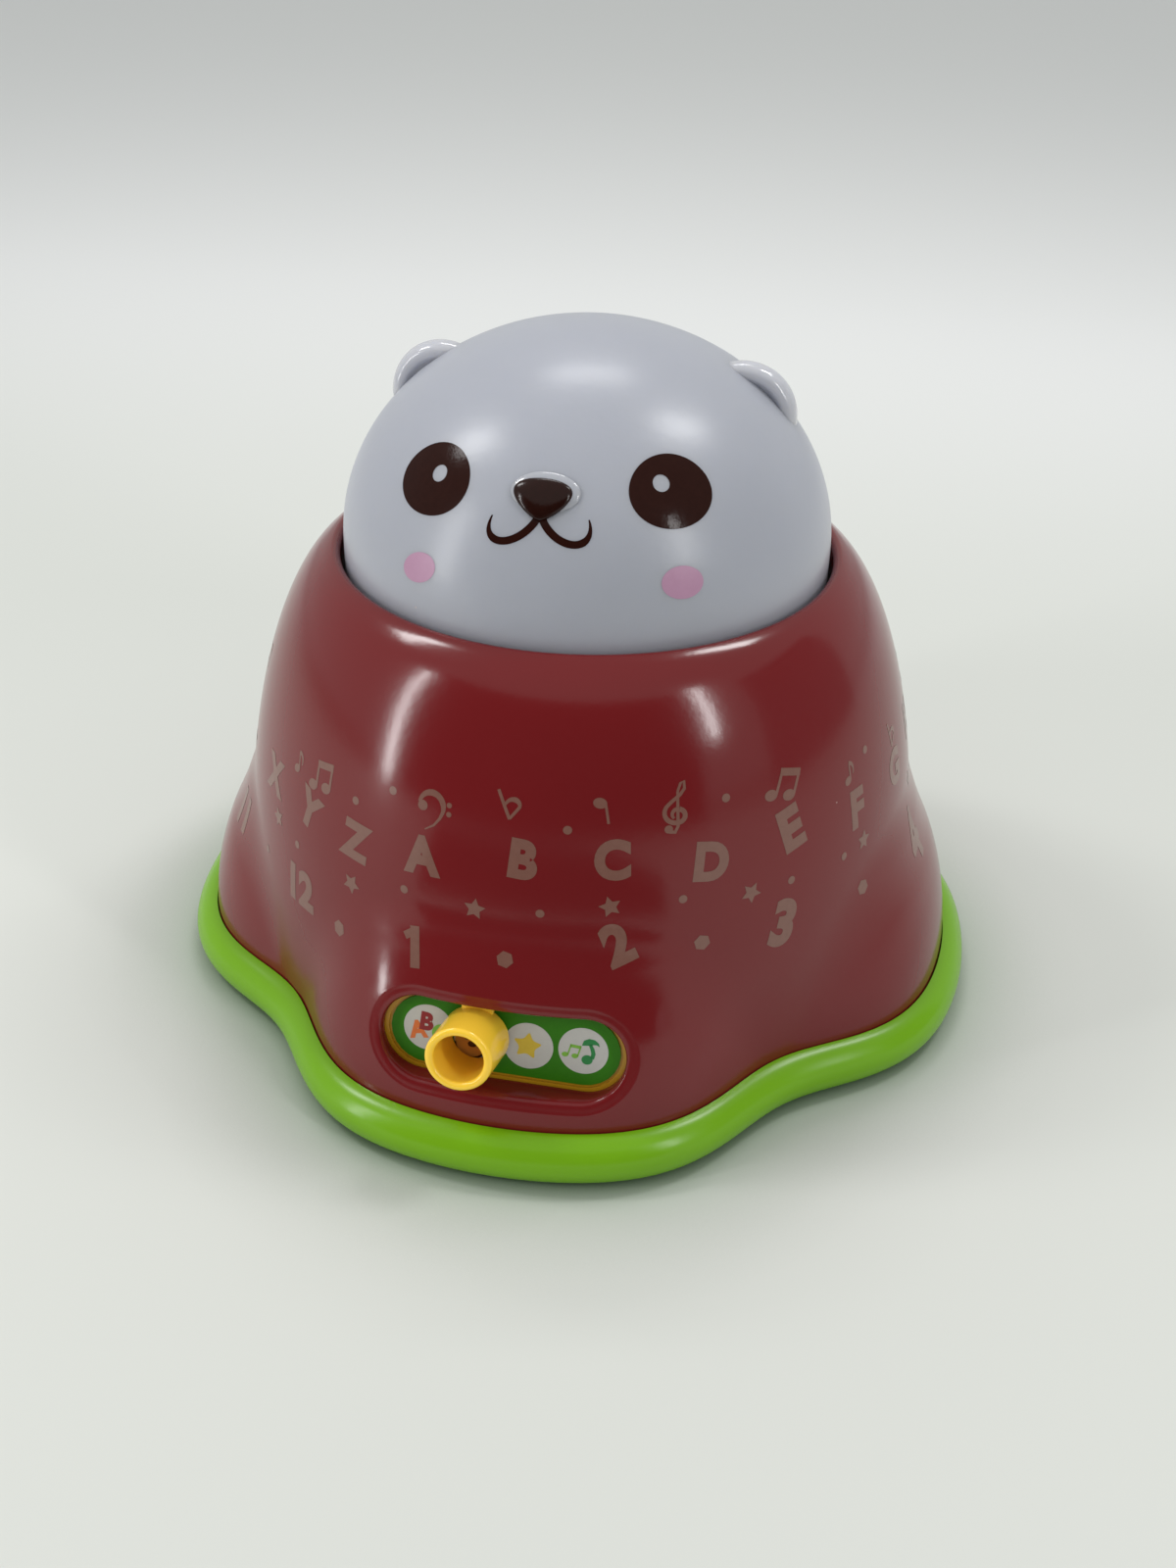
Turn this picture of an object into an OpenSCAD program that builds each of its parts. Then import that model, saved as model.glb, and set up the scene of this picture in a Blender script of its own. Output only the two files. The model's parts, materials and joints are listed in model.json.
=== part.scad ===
// Whack-a-mole toy: a lobed body with a sprung animal head that is struck from above,
// and a ring knob that slides along a slot to pick one of four modes.
// Millimetres. The origin is on the table under the head, +Z is up and the face looks to -Y.

/* [Body] */
// Radius of the red body at the foot of a lobe
lobe_r = 79; // [72:0.5:90]
// How far the notches between the lobes go in
notch_depth = 10; // [8:0.2:11]
// Height at which a lobe grows out of the body's cone
lobe_top = 41; // [38:0.5:50]
// Height of the lip round the head
body_top = 92.9; // [90:0.1:100]
// Height over which the cone widens below the lip
cone_h = 63; // [58:1:75]
// Wall of the body
body_wall = 2.2; // [1.8:0.1:2.6]
// Radius of the lip's inner edge
lip_edge = 1; // [0.4:0.1:1.4]

/* [Base] */
// How far the green rim stands out past the body
rim_overhang = 5; // [3:0.25:7]
// Height of the round rim
rim_h = 10.6; // [8:0.2:14]
// Thickness of the base floor
floor_t = 2.4; // [2:0.1:3]
// Height of the floor's underside above the table
floor_raise = 1.2; // [0.8:0.1:2]
// Ledge on which the body's lower edge stands
ledge_z = 4.4; // [4:0.1:5.5]

/* [Head] */
// Radius of the head at its widest
head_r = 47.2; // [42:0.2:50]
// Height of the dome above its widest place
head_rise = 40.2; // [30:0.2:46]
// Height of the head's widest place above the lip
head_lift = 2.1; // [0:0.1:4]
// Wall of the translucent head
head_wall = 2.2; // [1.6:0.1:3]
// Open gap between the head and the lip
head_gap = 0.8; // [0.6:0.05:2]
// Length of the straight skirt below the widest place
skirt_h = 11; // [9:0.5:14]
// How far the head can be pressed in
press_travel = 6; // [3:0.5:8]
// Radius of an ear
ear_r = 10.4; // [8:0.2:12]
// Thickness of an ear
ear_t = 5.8; // [3:0.2:7]
// How far the middle of an ear lies under the dome's surface
ear_sink = 6.3; // [4:0.1:8]
// Radius of the raised snout pad
snout_r = 5.8; // [4:0.2:8]

/* [Head guide] */
// Thickness of the plate that carries the head
carrier_t = 3; // [2.5:0.1:4]
// Distance of the guide posts from the axis
post_circle = 34; // [30:0.5:36]
// Radius of a guide post
post_r = 4; // [3:0.1:4.5]
// Running clearance of a post in its tube
post_clear = 0.08; // [0.03:0.01:0.1]
// Wall of a guide tube
tube_wall = 1.9; // [1.4:0.1:2.2]
// Height of the guide tubes above the deck
tube_h = 16; // [12:1:22]
// Height of the deck's top face
deck_z = 46; // [44:0.5:50]
// Thickness of the deck
deck_t = 3; // [2.5:0.1:4]
// Wire radius of the return springs
spring_wire = 0.6; // [0.4:0.05:0.7]
// Turns of a return spring
spring_turns = 6; // [4:1:8]

/* [Mode slot] */
// Distance between two mode positions
mode_pitch = 10; // [9.6:0.1:10.4]
// Length of the slot in the body
slot_w = 44.5; // [44:0.1:46]
// Height of the slot in the body
slot_h = 15.2; // [15:0.1:16]
// Width of the rounded edge round the slot
slot_bevel = 3.1; // [2.4:0.1:3.4]
// Height of the slot's middle above the table
slot_z = 23.4; // [22.5:0.1:25]
// How far the mode plate lies behind the lobe's foot radius
slot_sink = 9.5; // [9:0.1:11]
// Backward lean of the mode plate in degrees
slot_lean = 12; // [8:1:14]
// Outer radius of the ring knob at its back
knob_r = 6.3; // [5.6:0.1:6.6]
// How much the ring narrows towards its front
knob_taper = 0.1; // [0:0.1:0.8]
// Radius of the ring's open bore at its front
knob_bore_r = 4.6; // [3.8:0.1:4.8]
// Height of the ring's middle above the middle of the plate
knob_up = 0.8; // [0:0.1:1.2]
// How far the ring stands out of the mode plate
knob_reach = 12.5; // [9:0.5:14]

/* [Power and sound] */
// Radius of a battery cell
cell_r = 7.25; // [7:0.05:7.4]
// Length of a battery cell
cell_len = 50.5; // [48:0.25:52]
// Radius of the speaker
speaker_r = 20; // [16:0.5:21]
// Height of the speaker behind its flange
speaker_h = 14; // [11:0.5:20]

/* [Fasteners] */
// Shank radius of the case screws
screw_r = 1.5; // [1.2:0.1:1.6]
// Head radius of the case screws
screw_head_r = 2.8; // [2.4:0.1:3]
// Head height of the case screws
screw_head_h = 1.8; // [1.4:0.1:2.4]
// Gap between pieces that are fitted together
fit = 0.3; // [0.2:0.05:0.4]
// Clearance of a screw in the hole that it passes through
hole_clear = 0.1; // [0.05:0.01:0.2]
// Clearance of a screw in the hole that it is driven into
thread_clear = 0.06; // [0.03:0.01:0.1]

/* [Hidden] */
$fn = 48;
eps = 0.01;
tip_r = 0.3;

small_screw_r = 0.9;

// Colours
red = [0.50, 0.10, 0.12];
lime = [0.46, 0.72, 0.12];
yellow = [0.95, 0.70, 0.12];
milk = [0.82, 0.84, 0.90];
steel = [0.70, 0.70, 0.72];
board_green = [0.10, 0.35, 0.20];
black = [0.10, 0.10, 0.11];
copper = [0.75, 0.48, 0.25];

// Body form
lobe_count = 4;
lobe_width = 2.85;
around = 72;
arc_steps = 6;
cone_r = lobe_r - notch_depth;
cone_power = 1.72;
shoulder_power = 0.55;
lobe_foot = 9;
lobe_blend = 0.6;
lip_r = head_r + head_gap;

// Head heights
head_z = body_top + head_lift;
carrier_top = head_z - skirt_h;
carrier_z = carrier_top - carrier_t;
collar_z = carrier_top + fit;
carrier_r = lip_r + body_wall - fit;
post_angles = [30, 150, 270];
head_screw_angles = [90, 210, 330];
head_boss_r = 4;
head_boss_h = 14;
head_screw_circle = head_r - head_wall - head_boss_r + 0.8;
post_z = deck_z - deck_t + press_travel;
tube_r = post_r + post_clear + tube_wall;
spring_r = tube_r + spring_wire + 0.6;
spring_seat = 0.1;

// Case columns, one in each notch
column_r = 4;
column_circle = cone_r - body_wall - column_r - 1.4;
column_angles = [for (i = [0:lobe_count - 1]) (i + 0.5) * 360 / lobe_count];
column_top = deck_z - deck_t;
shelf_t = 3;
boss_h = 10;
base_screw_len = 14;
floor_z = floor_raise + floor_t;
deck_r = column_circle + 2.6;

// Boards
board_t = 1.6;
board_w = 36;
board_d = 30;
standoff_h = 3;
standoff_r = 3;
board_screw_x = 14;
board_z = deck_z + standoff_h;
switch_w = 12;
switch_h = 4;
button_r = 3.4;
button_h = 4.4;
button_top = board_z + board_t + switch_h + button_h;
light_pad_h = 2;
light_board_r = 14;
light_circle = 8;
light_r = 2.5;
light_h = 4;

// Speaker, in front of the battery bay
speaker_y = -20;
gasket_t = 1;
flange_t = 1.2;
flange_w = 4;
speaker_z = floor_z + gasket_t;
basket_top = speaker_z + flange_t + 0.55 * speaker_h;
magnet_r = 0.55 * speaker_r;
speaker_boss_r = 3;
seat_wall = 2;
speaker_screw_circle = speaker_r + fit + seat_wall + speaker_boss_r - 1;
speaker_screw_angles = [30, 150, 270];
speaker_top = speaker_z + flange_t;
grille_r = 1.3;

// Battery bay
cell_gap = 0.5;
cell_count = 3;
cell_pitch = 2 * cell_r + cell_gap;
contact_room = 3;
bay_wall = 1.6;
bay_w = cell_len + 2 * contact_room;
bay_d = cell_count * cell_pitch + cell_gap;
bay_front = speaker_y + speaker_r + 12.1;
bay_y = bay_front + bay_d / 2;
door_t = 1.4;
door_rib = 0.7;
door_edge = 1.2;
cell_z = floor_raise + door_t + door_rib + 0.2 + cell_r;
bay_top = cell_z + cell_r + 0.4;
door_tab_r = 4.4;
door_screw_y = bay_front - bay_wall - 3.7;
door_boss_r = 3;
door_boss_h = 7;
door_screw_r = 1.2;
door_head_r = 2.6;
door_head_h = 1;
contact_t = 0.5;

// Mode plate, in its own leaning frame: x along the slot, y up the plate, z outward
plate_y = -(lobe_r - slot_sink);
plate_cover = 1.8;
plate_w = slot_w + 2 * plate_cover;
plate_h = slot_h + 2 * plate_cover;
plate_t = 2;
border_w = 2;
border_h = 0.5;
label_t = 0.3;
label_w = plate_w - 2 * border_w - 1;
label_h = plate_h - 2 * border_w - 1;
modes = [-1.5, -0.5, 0.5, 1.5];
rest_mode = 1;
knob_x = modes[rest_mode] * mode_pitch;
knob_back = border_h + 0.4;
arm_w = 6;
arm_t = 1.4;
arm_top = plate_h / 2 + fit + 1.4;
switch_post_r = 2.5;
switch_post_h = 3;
switch_board_z = -plate_t - switch_post_h - board_t;
switch_board_w = 44;
switch_board_low = -4.5;
switch_board_high = plate_h / 2 - 1.2;
switch_screw_x = 19.5;
switch_screw_y = 4.5;
pad_t = 0.15;
wiper_t = 1;
wiper_z = switch_board_z - pad_t - fit - wiper_t;
leg_x = 18;
leg_w = 6;
foot_z = floor_z + 6;
foot_t = 2.5;
foot_screw_y = plate_y + 12;
foot_boss_r = 3.6;

// Share of the lobe that is left at an angle: 1 at a lobe, 0 in a notch
function lobe_share(a) = 1 - pow((1 - cos(lobe_count * a)) / 2, lobe_width);

// Radius of the body's foot at an angle
function foot_r(a) = lobe_r - notch_depth * (1 - lobe_share(a));

// Radius of the plain cone at a height
function cone_at(z) =
  let (t = min(1, max(0, (body_top - z) / cone_h)))
  lip_r + (cone_r - lip_r) * pow(1 - pow(1 - t, cone_power), shoulder_power);

// Swell of a lobe over the cone at an angle and a height, blended softly into the cone where it ends
function swell(a, z) =
  let (s = max(0, (z - lobe_foot) / (lobe_top - lobe_foot)))
  let (left = lobe_share(a) - s * s, blend = lobe_blend * min(1, s))
  notch_depth * (abs(left) < blend ? pow(left + blend, 2) / (4 * blend) : max(0, left));

// Radius of the body's outside at an angle and a height
function body_r(a, z) = cone_at(z) + swell(a, z);

// Height at which a lobe has blended into the cone
function blend_z(a) =
  lobe_foot + (lobe_top - lobe_foot) * (0.45 + 0.8 * pow(max(0, lobe_share(a)), 1.15));

// A point at a radius, an angle and a height
function turn(r, a, z) = [r * cos(a), r * sin(a), z];

// A closed ring of profile points swept round the axis, as one solid without caps
module ring_solid(profile, n) {
  m = len(profile(0));
  points = [for (i = [0:n - 1]) let (a = i * 360 / n) for (p = profile(a)) turn(p[0], a, p[1])];
  faces = [
    for (i = [0:n - 1], j = [0:m - 1])
      let (a = i * m + j, b = i * m + (j + 1) % m)
      let (c = ((i + 1) % n) * m + (j + 1) % m, d = ((i + 1) % n) * m + j)
      for (f = [[a, b, c], [a, c, d]]) f
  ];
  polyhedron(points, faces);
}

// A solid through a row of rings with the same count of points, closed by a fan at each end
module loft(rings) {
  n = len(rings[0]);
  last = len(rings) - 1;
  middle = function (ring) [for (k = [0:2]) [for (p = ring) p[k]] * [for (p = ring) 1] / n];
  points = concat([for (ring = rings) each ring], [middle(rings[0]), middle(rings[last])]);
  low = n * (last + 1);
  sides = [
    for (i = [0:last - 1], j = [0:n - 1])
      let (a = i * n + j, b = i * n + (j + 1) % n)
      for (f = [[a, a + n, b + n], [a, b + n, b]]) f
  ];
  ends = [
    for (j = [0:n - 1])
      for (f = [[low, j, (j + 1) % n], [low + 1, last * n + (j + 1) % n, last * n + j]]) f
  ];
  polyhedron(points, concat(sides, ends));
}

// A round wire wound as a helix whose radius may change from end to end
module coil(r0, r1, z0, z1, turns, wire) {
  steps = 8 * turns;
  sides = 6;
  rings = [
    for (i = [0:steps])
      let (t = i / steps, a = 360 * turns * t, r = r0 + (r1 - r0) * t, z = z0 + (z1 - z0) * t)
      [for (k = [0:sides - 1]) turn(r + wire * cos(60 * k), a, z + wire * sin(60 * k))]
  ];
  loft(rings);
}

// Points of an outline with round ends, w long and h high
function stadium(w, h, steps = 12) = [
  for (side = [0, 1], i = [0:steps])
    let (a = -90 + 180 * side + 180 * i / steps)
    [(side == 0 ? 1 : -1) * (w - h) / 2 + h / 2 * cos(a), h / 2 * sin(a)]
];

// A quarter of an ellipse from its side up to a small flat on the axis, starting at a height
function quarter_round(w, h, z, steps = 7) = concat(
  [for (i = [0:steps - 1]) let (a = 90 * i / steps) [w * cos(a), z + h * sin(a)]],
  [[tip_r, z + h], [0, z + h]]
);

module stadium_plate(w, h, t) {
  linear_extrude(t) polygon(stadium(w, h));
}

// A pan head screw whose seat is at zero and whose shank points up
module screw(len, r, head_r, head_h) {
  translate([0, 0, -head_h / 2]) cylinder(h = len + head_h / 2, r = r);
  translate([0, 0, -head_h]) cylinder(h = head_h, r1 = 0.8 * head_r, r2 = head_r);
}

// Children repeated round the axis at the given angles
module around_axis(angles, r) {
  for (a = angles) rotate(a) translate([r, 0, 0]) children();
}

// The leaning frame of the mode plate
module in_plate_frame() {
  translate([0, plate_y, slot_z]) rotate([90 - slot_lean, 0, 0]) children();
}

// Outward distance of the body's surface from the mode plate, found by stepping to it
function surface_z(x, y, z = 7, steps = 6) =
  steps == 0 ? z :
  let (world_y = plate_y + y * sin(slot_lean) - z * cos(slot_lean))
  let (world_z = slot_z + y * cos(slot_lean) + z * sin(slot_lean))
  let (a = atan2(world_y, x), r = body_r(a, world_z))
  let (miss = r - norm([x, world_y]))
  surface_z(x, y, z + miss * 0.9, steps - 1);

// A ring of the slot: the outline at a fixed height, or at a distance from the body's surface
function slot_ring(grow, z) = [for (p = stadium(slot_w + grow, slot_h + grow)) [p[0], p[1], z]];
function slot_ring_on(grow, off) = [
  for (p = stadium(slot_w + grow, slot_h + grow)) [p[0], p[1], surface_z(p[0], p[1]) + off]
];

// Profile of the body's wall: outside, lip, collar round the head, inside
function shell_profile(a) =
  let (blend = blend_z(a), low = 11, high = 9, deep = 9)
  let (outside_low = [for (i = [0:low]) ledge_z + (blend - ledge_z) * (1 - pow(1 - i / low, 1.5))])
  let (outside_high = [for (i = [1:high - 1]) body_top - (body_top - blend) * pow(1 - i / high, 2)])
  let (under_lip = body_top - 2 * body_wall, collar_r = lip_r + body_wall)
  let (inside = [for (i = [0:deep]) under_lip + (ledge_z - under_lip) * pow(i / deep, 1.2)])
  concat(
    [for (z = outside_low) [body_r(a, z), z]],
    [for (z = outside_high) [body_r(a, z), z]],
    [for (t = [0, 45, 90]) [lip_r + lip_edge * (1 - sin(t)), body_top - lip_edge * (1 - cos(t))]],
    [[lip_r, collar_z], [collar_r, collar_z], [collar_r, under_lip - 0.4]],
    [for (z = inside) [max(body_r(a, z + body_wall / 2) - body_wall, collar_r + 0.3), z]]
  );

// Profile of the green rim: round bar, ledge for the body and a tongue behind the body's wall
function rim_profile(a) =
  let (foot = foot_r(a), half = rim_h / 2, bar = foot + rim_overhang - half)
  let (inner = foot - body_wall - fit, tongue = 1.6, tongue_h = 3.2)
  concat(
    [[inner - 3.6, 0]],
    [for (i = [0:arc_steps + 3])
      let (t = -90 + 172 * i / (arc_steps + 3))
      [bar + half * cos(t), half + half * sin(t)]],
    [[foot + fit, rim_h - 0.6], [foot + fit, ledge_z], [inner, ledge_z]],
    [[inner, ledge_z + tongue_h], [inner - tongue, ledge_z + tongue_h]],
    [[inner - tongue, ledge_z - 0.3], [inner - 3.6, ledge_z - 0.3]]
  );

module floor_outline() {
  polygon([for (i = [0:around - 1])
    let (a = i * 360 / around, r = foot_r(a) - body_wall - 3)
    [r * cos(a), r * sin(a)]]);
}

// The green base: round rim, floor, battery bay, speaker seat and screw columns
module base_tray() {
  color(lime)
  difference() {
    union() {
      ring_solid(function (a) rim_profile(a), around);
      translate([0, 0, floor_raise]) linear_extrude(floor_t) floor_outline();
      around_axis(column_angles, column_circle)
        translate([0, 0, floor_raise + eps]) cylinder(h = column_top - floor_raise - eps, r = column_r);
      bay_block(bay_w + 2 * bay_wall, bay_d + 2 * bay_wall, floor_raise + 0.5, bay_top + bay_wall);
      speaker_seat();
      for (side = [-1, 1])
        translate([side * leg_x, foot_screw_y, floor_z - eps])
          cylinder(h = foot_z - floor_z + eps, r = foot_boss_r);
      translate([0, door_screw_y, floor_z - eps]) cylinder(h = door_boss_h, r = door_boss_r);
    }
    around_axis(column_angles, column_circle) {
      translate([0, 0, -eps]) cylinder(h = column_top - shelf_t + eps, r = screw_head_r + fit);
      cylinder(h = column_top + 1, r = screw_r + hole_clear);
    }
    bay_block(bay_w, bay_d, -1, bay_top);
    bay_block(bay_w + 2 * door_edge, bay_d + 2 * door_edge, -1, floor_raise + door_t + 0.1);
    translate([0, door_screw_y, -1]) cylinder(h = 1 + floor_raise + door_t + 0.1, r = door_tab_r + fit);
    translate([-door_tab_r - fit, door_screw_y, -1])
      cube([2 * (door_tab_r + fit), bay_front - door_screw_y, 1 + floor_raise + door_t + 0.1]);
    translate([0, door_screw_y, 0])
      cylinder(h = floor_z + door_boss_h - 1, r = door_screw_r + thread_clear);
    for (side = [-1, 1])
      translate([side * leg_x, foot_screw_y, floor_z + 0.5]) cylinder(h = 20, r = screw_r + thread_clear);
    speaker_cuts();
  }
}

module bay_block(w, d, z0, z1) {
  translate([-w / 2, bay_y - d / 2, z0]) cube([w, d, z1 - z0]);
}

module speaker_seat() {
  seat_h = speaker_top - floor_z - 0.2;
  ring_h = 0.7 * seat_h;
  translate([0, speaker_y, floor_z - eps]) {
    difference() {
      cylinder(h = ring_h, r = speaker_r + fit + seat_wall);
      translate([0, 0, -1]) cylinder(h = 6, r = speaker_r + fit);
    }
    around_axis(speaker_screw_angles, speaker_screw_circle)
      cylinder(h = seat_h, r = speaker_boss_r);
  }
}

module speaker_cuts() {
  translate([0, speaker_y, 0]) {
    for (row = [0:2])
      around_axis([for (i = [0:max(0, 6 * row - 1)]) i * 60 / max(1, row)], row * speaker_r / 4)
        cylinder(h = floor_z + 1, r = grille_r);
    around_axis(speaker_screw_angles, speaker_screw_circle)
      translate([0, 0, floor_raise + 0.8]) cylinder(h = 20, r = screw_r + thread_clear);
  }
}

// The red body: lofted wall with lobes, head collar, slot for the knob and screw bosses
module body_shell() {
  color(red)
  difference() {
    union() {
      ring_solid(function (a) shell_profile(a), around);
      around_axis(column_angles, column_circle)
        translate([0, 0, deck_z]) cylinder(h = boss_h, r = column_r + 0.5);
      in_plate_frame() slot_collar();
    }
    around_axis(column_angles, column_circle)
      translate([0, 0, deck_z - 1]) cylinder(h = boss_h, r = screw_r + thread_clear);
    in_plate_frame() {
      slot_cut();
      plate_room();
      arm_room();
    }
  }
}

// Tunnel behind the slot's edge, from the wall back to the mode plate
module slot_collar() {
  tunnel = 2 * slot_bevel - 0.6;
  loft([slot_ring(tunnel, border_h + fit), slot_ring_on(tunnel, -1)]);
}

// Room cut into the back of the wall for the ends of the mode plate
module plate_room() {
  front = border_h + fit / 2;
  translate([0, 0, -plate_t - 1])
    stadium_plate(plate_w + 2 * fit, plate_h + 2 * fit, plate_t + 1 + front);
}

// Opening of the slot, with an edge that rounds over into the body's surface
module slot_cut() {
  rounds = 3;
  edge_rise = 0.25;
  edge_deep = 0.8 * slot_bevel;
  loft(concat(
    [slot_ring(0, -border_h), slot_ring_on(0, -edge_deep)],
    [for (i = [1:rounds])
      let (t = 90 * i / rounds)
      slot_ring_on(2 * slot_bevel * (1 - cos(t)), -edge_deep * (1 - sin(t)) + (i == rounds ? edge_rise : 0))],
    [slot_ring_on(2 * slot_bevel, 8)]
  ));
}

// Room behind the wall in which the knob's arm slides
module arm_room() {
  travel = (modes[3] - modes[0]) * mode_pitch;
  room_w = travel + arm_w + 2 * fit + 1;
  low = slot_h / 2 - 2;
  back = -plate_t;
  translate([-room_w / 2, low, back])
    cube([room_w, arm_top + 2 * fit - low, knob_back + arm_t + fit - back]);
}

// Half profile of the dome, from the skirt's foot to the top, grown inward by a wall
function dome_profile(wall) =
  let (foot_z = carrier_top - (wall > 0 ? 1 : 0))
  concat([[0, foot_z], [head_r - wall, foot_z]], quarter_round(head_r - wall, head_rise - wall, head_z, 20));

// Point of the dome at an angle above its widest place
function dome_point(t) = [head_r * cos(t), head_z + head_rise * sin(t)];

// The translucent head with its ears and snout pad moulded on
module head_dome() {
  ear_at = 46;
  snout_at = 32;
  color(milk)
  difference() {
    union() {
      difference() {
        union() {
          rotate_extrude() polygon(dome_profile(0));
          for (side = [0, 1]) mirror([side, 0, 0]) ear(ear_at);
          snout(snout_at);
        }
        rotate_extrude() polygon(dome_profile(head_wall));
      }
      around_axis(head_screw_angles, head_screw_circle)
        translate([0, 0, carrier_top + fit]) cylinder(h = head_boss_h - fit, r = head_boss_r);
    }
    around_axis(head_screw_angles, head_screw_circle)
      translate([0, 0, carrier_top - 1]) cylinder(h = head_boss_h - 2, r = screw_r + thread_clear);
  }
}

// A round ear, a thick disc with a soft edge half sunk in the dome
module ear(t) {
  p = dome_point(t);
  slope = atan(head_r * tan(t) / head_rise);
  back = 4.8;
  steps = 8;
  half = [for (i = [0:steps])
    let (a = 90 * i / steps)
    [ear_r * pow(sin(a), 0.8), ear_t / 2 * pow(cos(a), 0.8)]];
  translate([p[0] - ear_sink * cos(slope), back, p[1] - ear_sink * sin(slope)])
    rotate([90, 0, 0])
      rotate_extrude()
        polygon(concat(half, [for (i = [1:steps]) [half[steps - i][0], -half[steps - i][1]]]));
}

// A low round pad under the nose
module snout(t) {
  p = dome_point(t);
  slope = atan(head_r * tan(t) / head_rise);
  pad_h = 1.8;
  translate([0, -p[0], p[1]])
    rotate([90 - slope, 0, 0])
      rotate_extrude()
        polygon(concat([[0, -1.5], [snout_r, -1.5]], quarter_round(snout_r, pad_h, 0)));
}

// The plate under the head, with its guide posts and the striker for the switch
module head_carrier() {
  striker_r = 3;
  striker_z = button_top + press_travel + fit;
  rib_r = 24;
  rib_t = 1.6;
  rib_h = 4;
  color(black)
  difference() {
    union() {
      translate([0, 0, carrier_z]) cylinder(h = carrier_t, r = carrier_r);
      around_axis(post_angles, post_circle)
        translate([0, 0, post_z]) cylinder(h = carrier_z - post_z + 1, r = post_r);
      translate([0, 0, striker_z]) cylinder(h = carrier_z - striker_z + 1, r = striker_r);
      translate([0, 0, carrier_z - rib_h]) difference() {
        cylinder(h = rib_h + 1, r = rib_r);
        translate([0, 0, -1]) cylinder(h = rib_h + 1, r = rib_r - rib_t);
      }
      translate([0, 0, carrier_top - 1]) cylinder(h = light_pad_h + 1, r = light_board_r);
    }
    around_axis(head_screw_angles, head_screw_circle)
      translate([0, 0, carrier_z - 1]) cylinder(h = carrier_t + 2, r = screw_r + hole_clear);
  }
}

module head_screws() {
  color(steel)
  around_axis(head_screw_angles, head_screw_circle)
    translate([0, 0, carrier_z]) screw(carrier_t + 8, screw_r, screw_head_r, screw_head_h);
}

// Three coils that push the head back up
module return_springs() {
  low = deck_z + spring_wire + spring_seat;
  high = carrier_z - spring_wire - spring_seat;
  color(steel)
  around_axis(post_angles, post_circle) coil(spring_r, spring_r, low, high, spring_turns, spring_wire);
}

// The fixed deck inside the body, with the tubes that guide the head
module deck_plate() {
  color(milk)
  difference() {
    union() {
      translate([0, 0, deck_z - deck_t]) cylinder(h = deck_t, r = deck_r);
      around_axis(post_angles, post_circle)
        translate([0, 0, deck_z - 1]) cylinder(h = tube_h + 1, r = tube_r);
      for (side = [-1, 1])
        translate([side * board_screw_x, 0, deck_z - 1]) cylinder(h = standoff_h + 1, r = standoff_r);
    }
    around_axis(column_angles, column_circle)
      translate([0, 0, deck_z - deck_t - 1]) cylinder(h = deck_t + 2, r = screw_r + hole_clear);
    around_axis(post_angles, post_circle)
      translate([0, 0, deck_z - deck_t - 1]) cylinder(h = tube_h + deck_t + 2, r = post_r + post_clear);
    for (side = [-1, 1])
      translate([side * board_screw_x, 0, deck_z - 1])
        cylinder(h = standoff_h + 2, r = screw_r + thread_clear);
  }
}

// Screws that clamp base column, deck and body together
module base_screws() {
  color(steel)
  around_axis(column_angles, column_circle)
    translate([0, 0, column_top - shelf_t]) screw(base_screw_len, screw_r, screw_head_r, screw_head_h);
}

module light_board() {
  color(board_green)
  translate([0, 0, carrier_top + light_pad_h]) cylinder(h = board_t, r = light_board_r);
}

// Three round-topped lamps that light the head from inside
module light_bulbs() {
  color("white")
  around_axis([90, 210, 330], light_circle)
    translate([0, 0, carrier_top + light_pad_h + board_t])
      rotate_extrude()
        polygon(concat(
          [[0, 0], [light_r + 0.5, 0], [light_r + 0.5, 1], [light_r, 1]],
          quarter_round(light_r, light_r, light_h)
        ));
}

// The circuit board on the deck's two standoffs
module main_board() {
  color(board_green)
  difference() {
    translate([-board_w / 2, -board_d / 2, board_z]) cube([board_w, board_d, board_t]);
    for (side = [-1, 1])
      translate([side * board_screw_x, 0, board_z - 1]) cylinder(h = board_t + 2, r = screw_r + hole_clear);
  }
}

// A chip under its round blob and a capacitor
module board_parts() {
  blob_r = 5;
  blob_h = 2.4;
  can_r = 3;
  can_h = 8;
  color(black)
  translate([0, 0, board_z + board_t]) {
    translate([-switch_w / 2 - blob_r, switch_w / 2 + 0.7 * blob_r, 0])
      rotate_extrude()
        polygon(concat([[0, 0]], quarter_round(blob_r, blob_h, 0)));
    translate([switch_w / 2 + can_r, -switch_w / 2 - 1.3 * can_r, 0]) cylinder(h = can_h, r = can_r);
  }
}

module board_screws() {
  color(steel)
  for (side = [-1, 1])
    translate([side * board_screw_x, 0, board_z + board_t])
      mirror([0, 0, 1]) screw(board_t + standoff_h, screw_r, screw_head_r, screw_head_h);
}

// The push switch that the head strikes
module hit_switch() {
  color(black)
  difference() {
    translate([-switch_w / 2, -switch_w / 2, board_z + board_t]) cube([switch_w, switch_w, switch_h]);
    translate([0, 0, board_z + board_t + 1]) cylinder(h = switch_h, r = button_r + 0.15);
  }
}

module hit_button() {
  color([0.85, 0.30, 0.15])
  translate([0, 0, board_z + board_t + 1]) cylinder(h = switch_h - 1 + button_h, r = button_r);
}

module speaker_gasket() {
  color(black)
  translate([0, speaker_y, floor_z]) difference() {
    cylinder(h = gasket_t, r = speaker_r);
    translate([0, 0, -1]) cylinder(h = gasket_t + 2, r = speaker_r - flange_w);
  }
}

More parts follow.
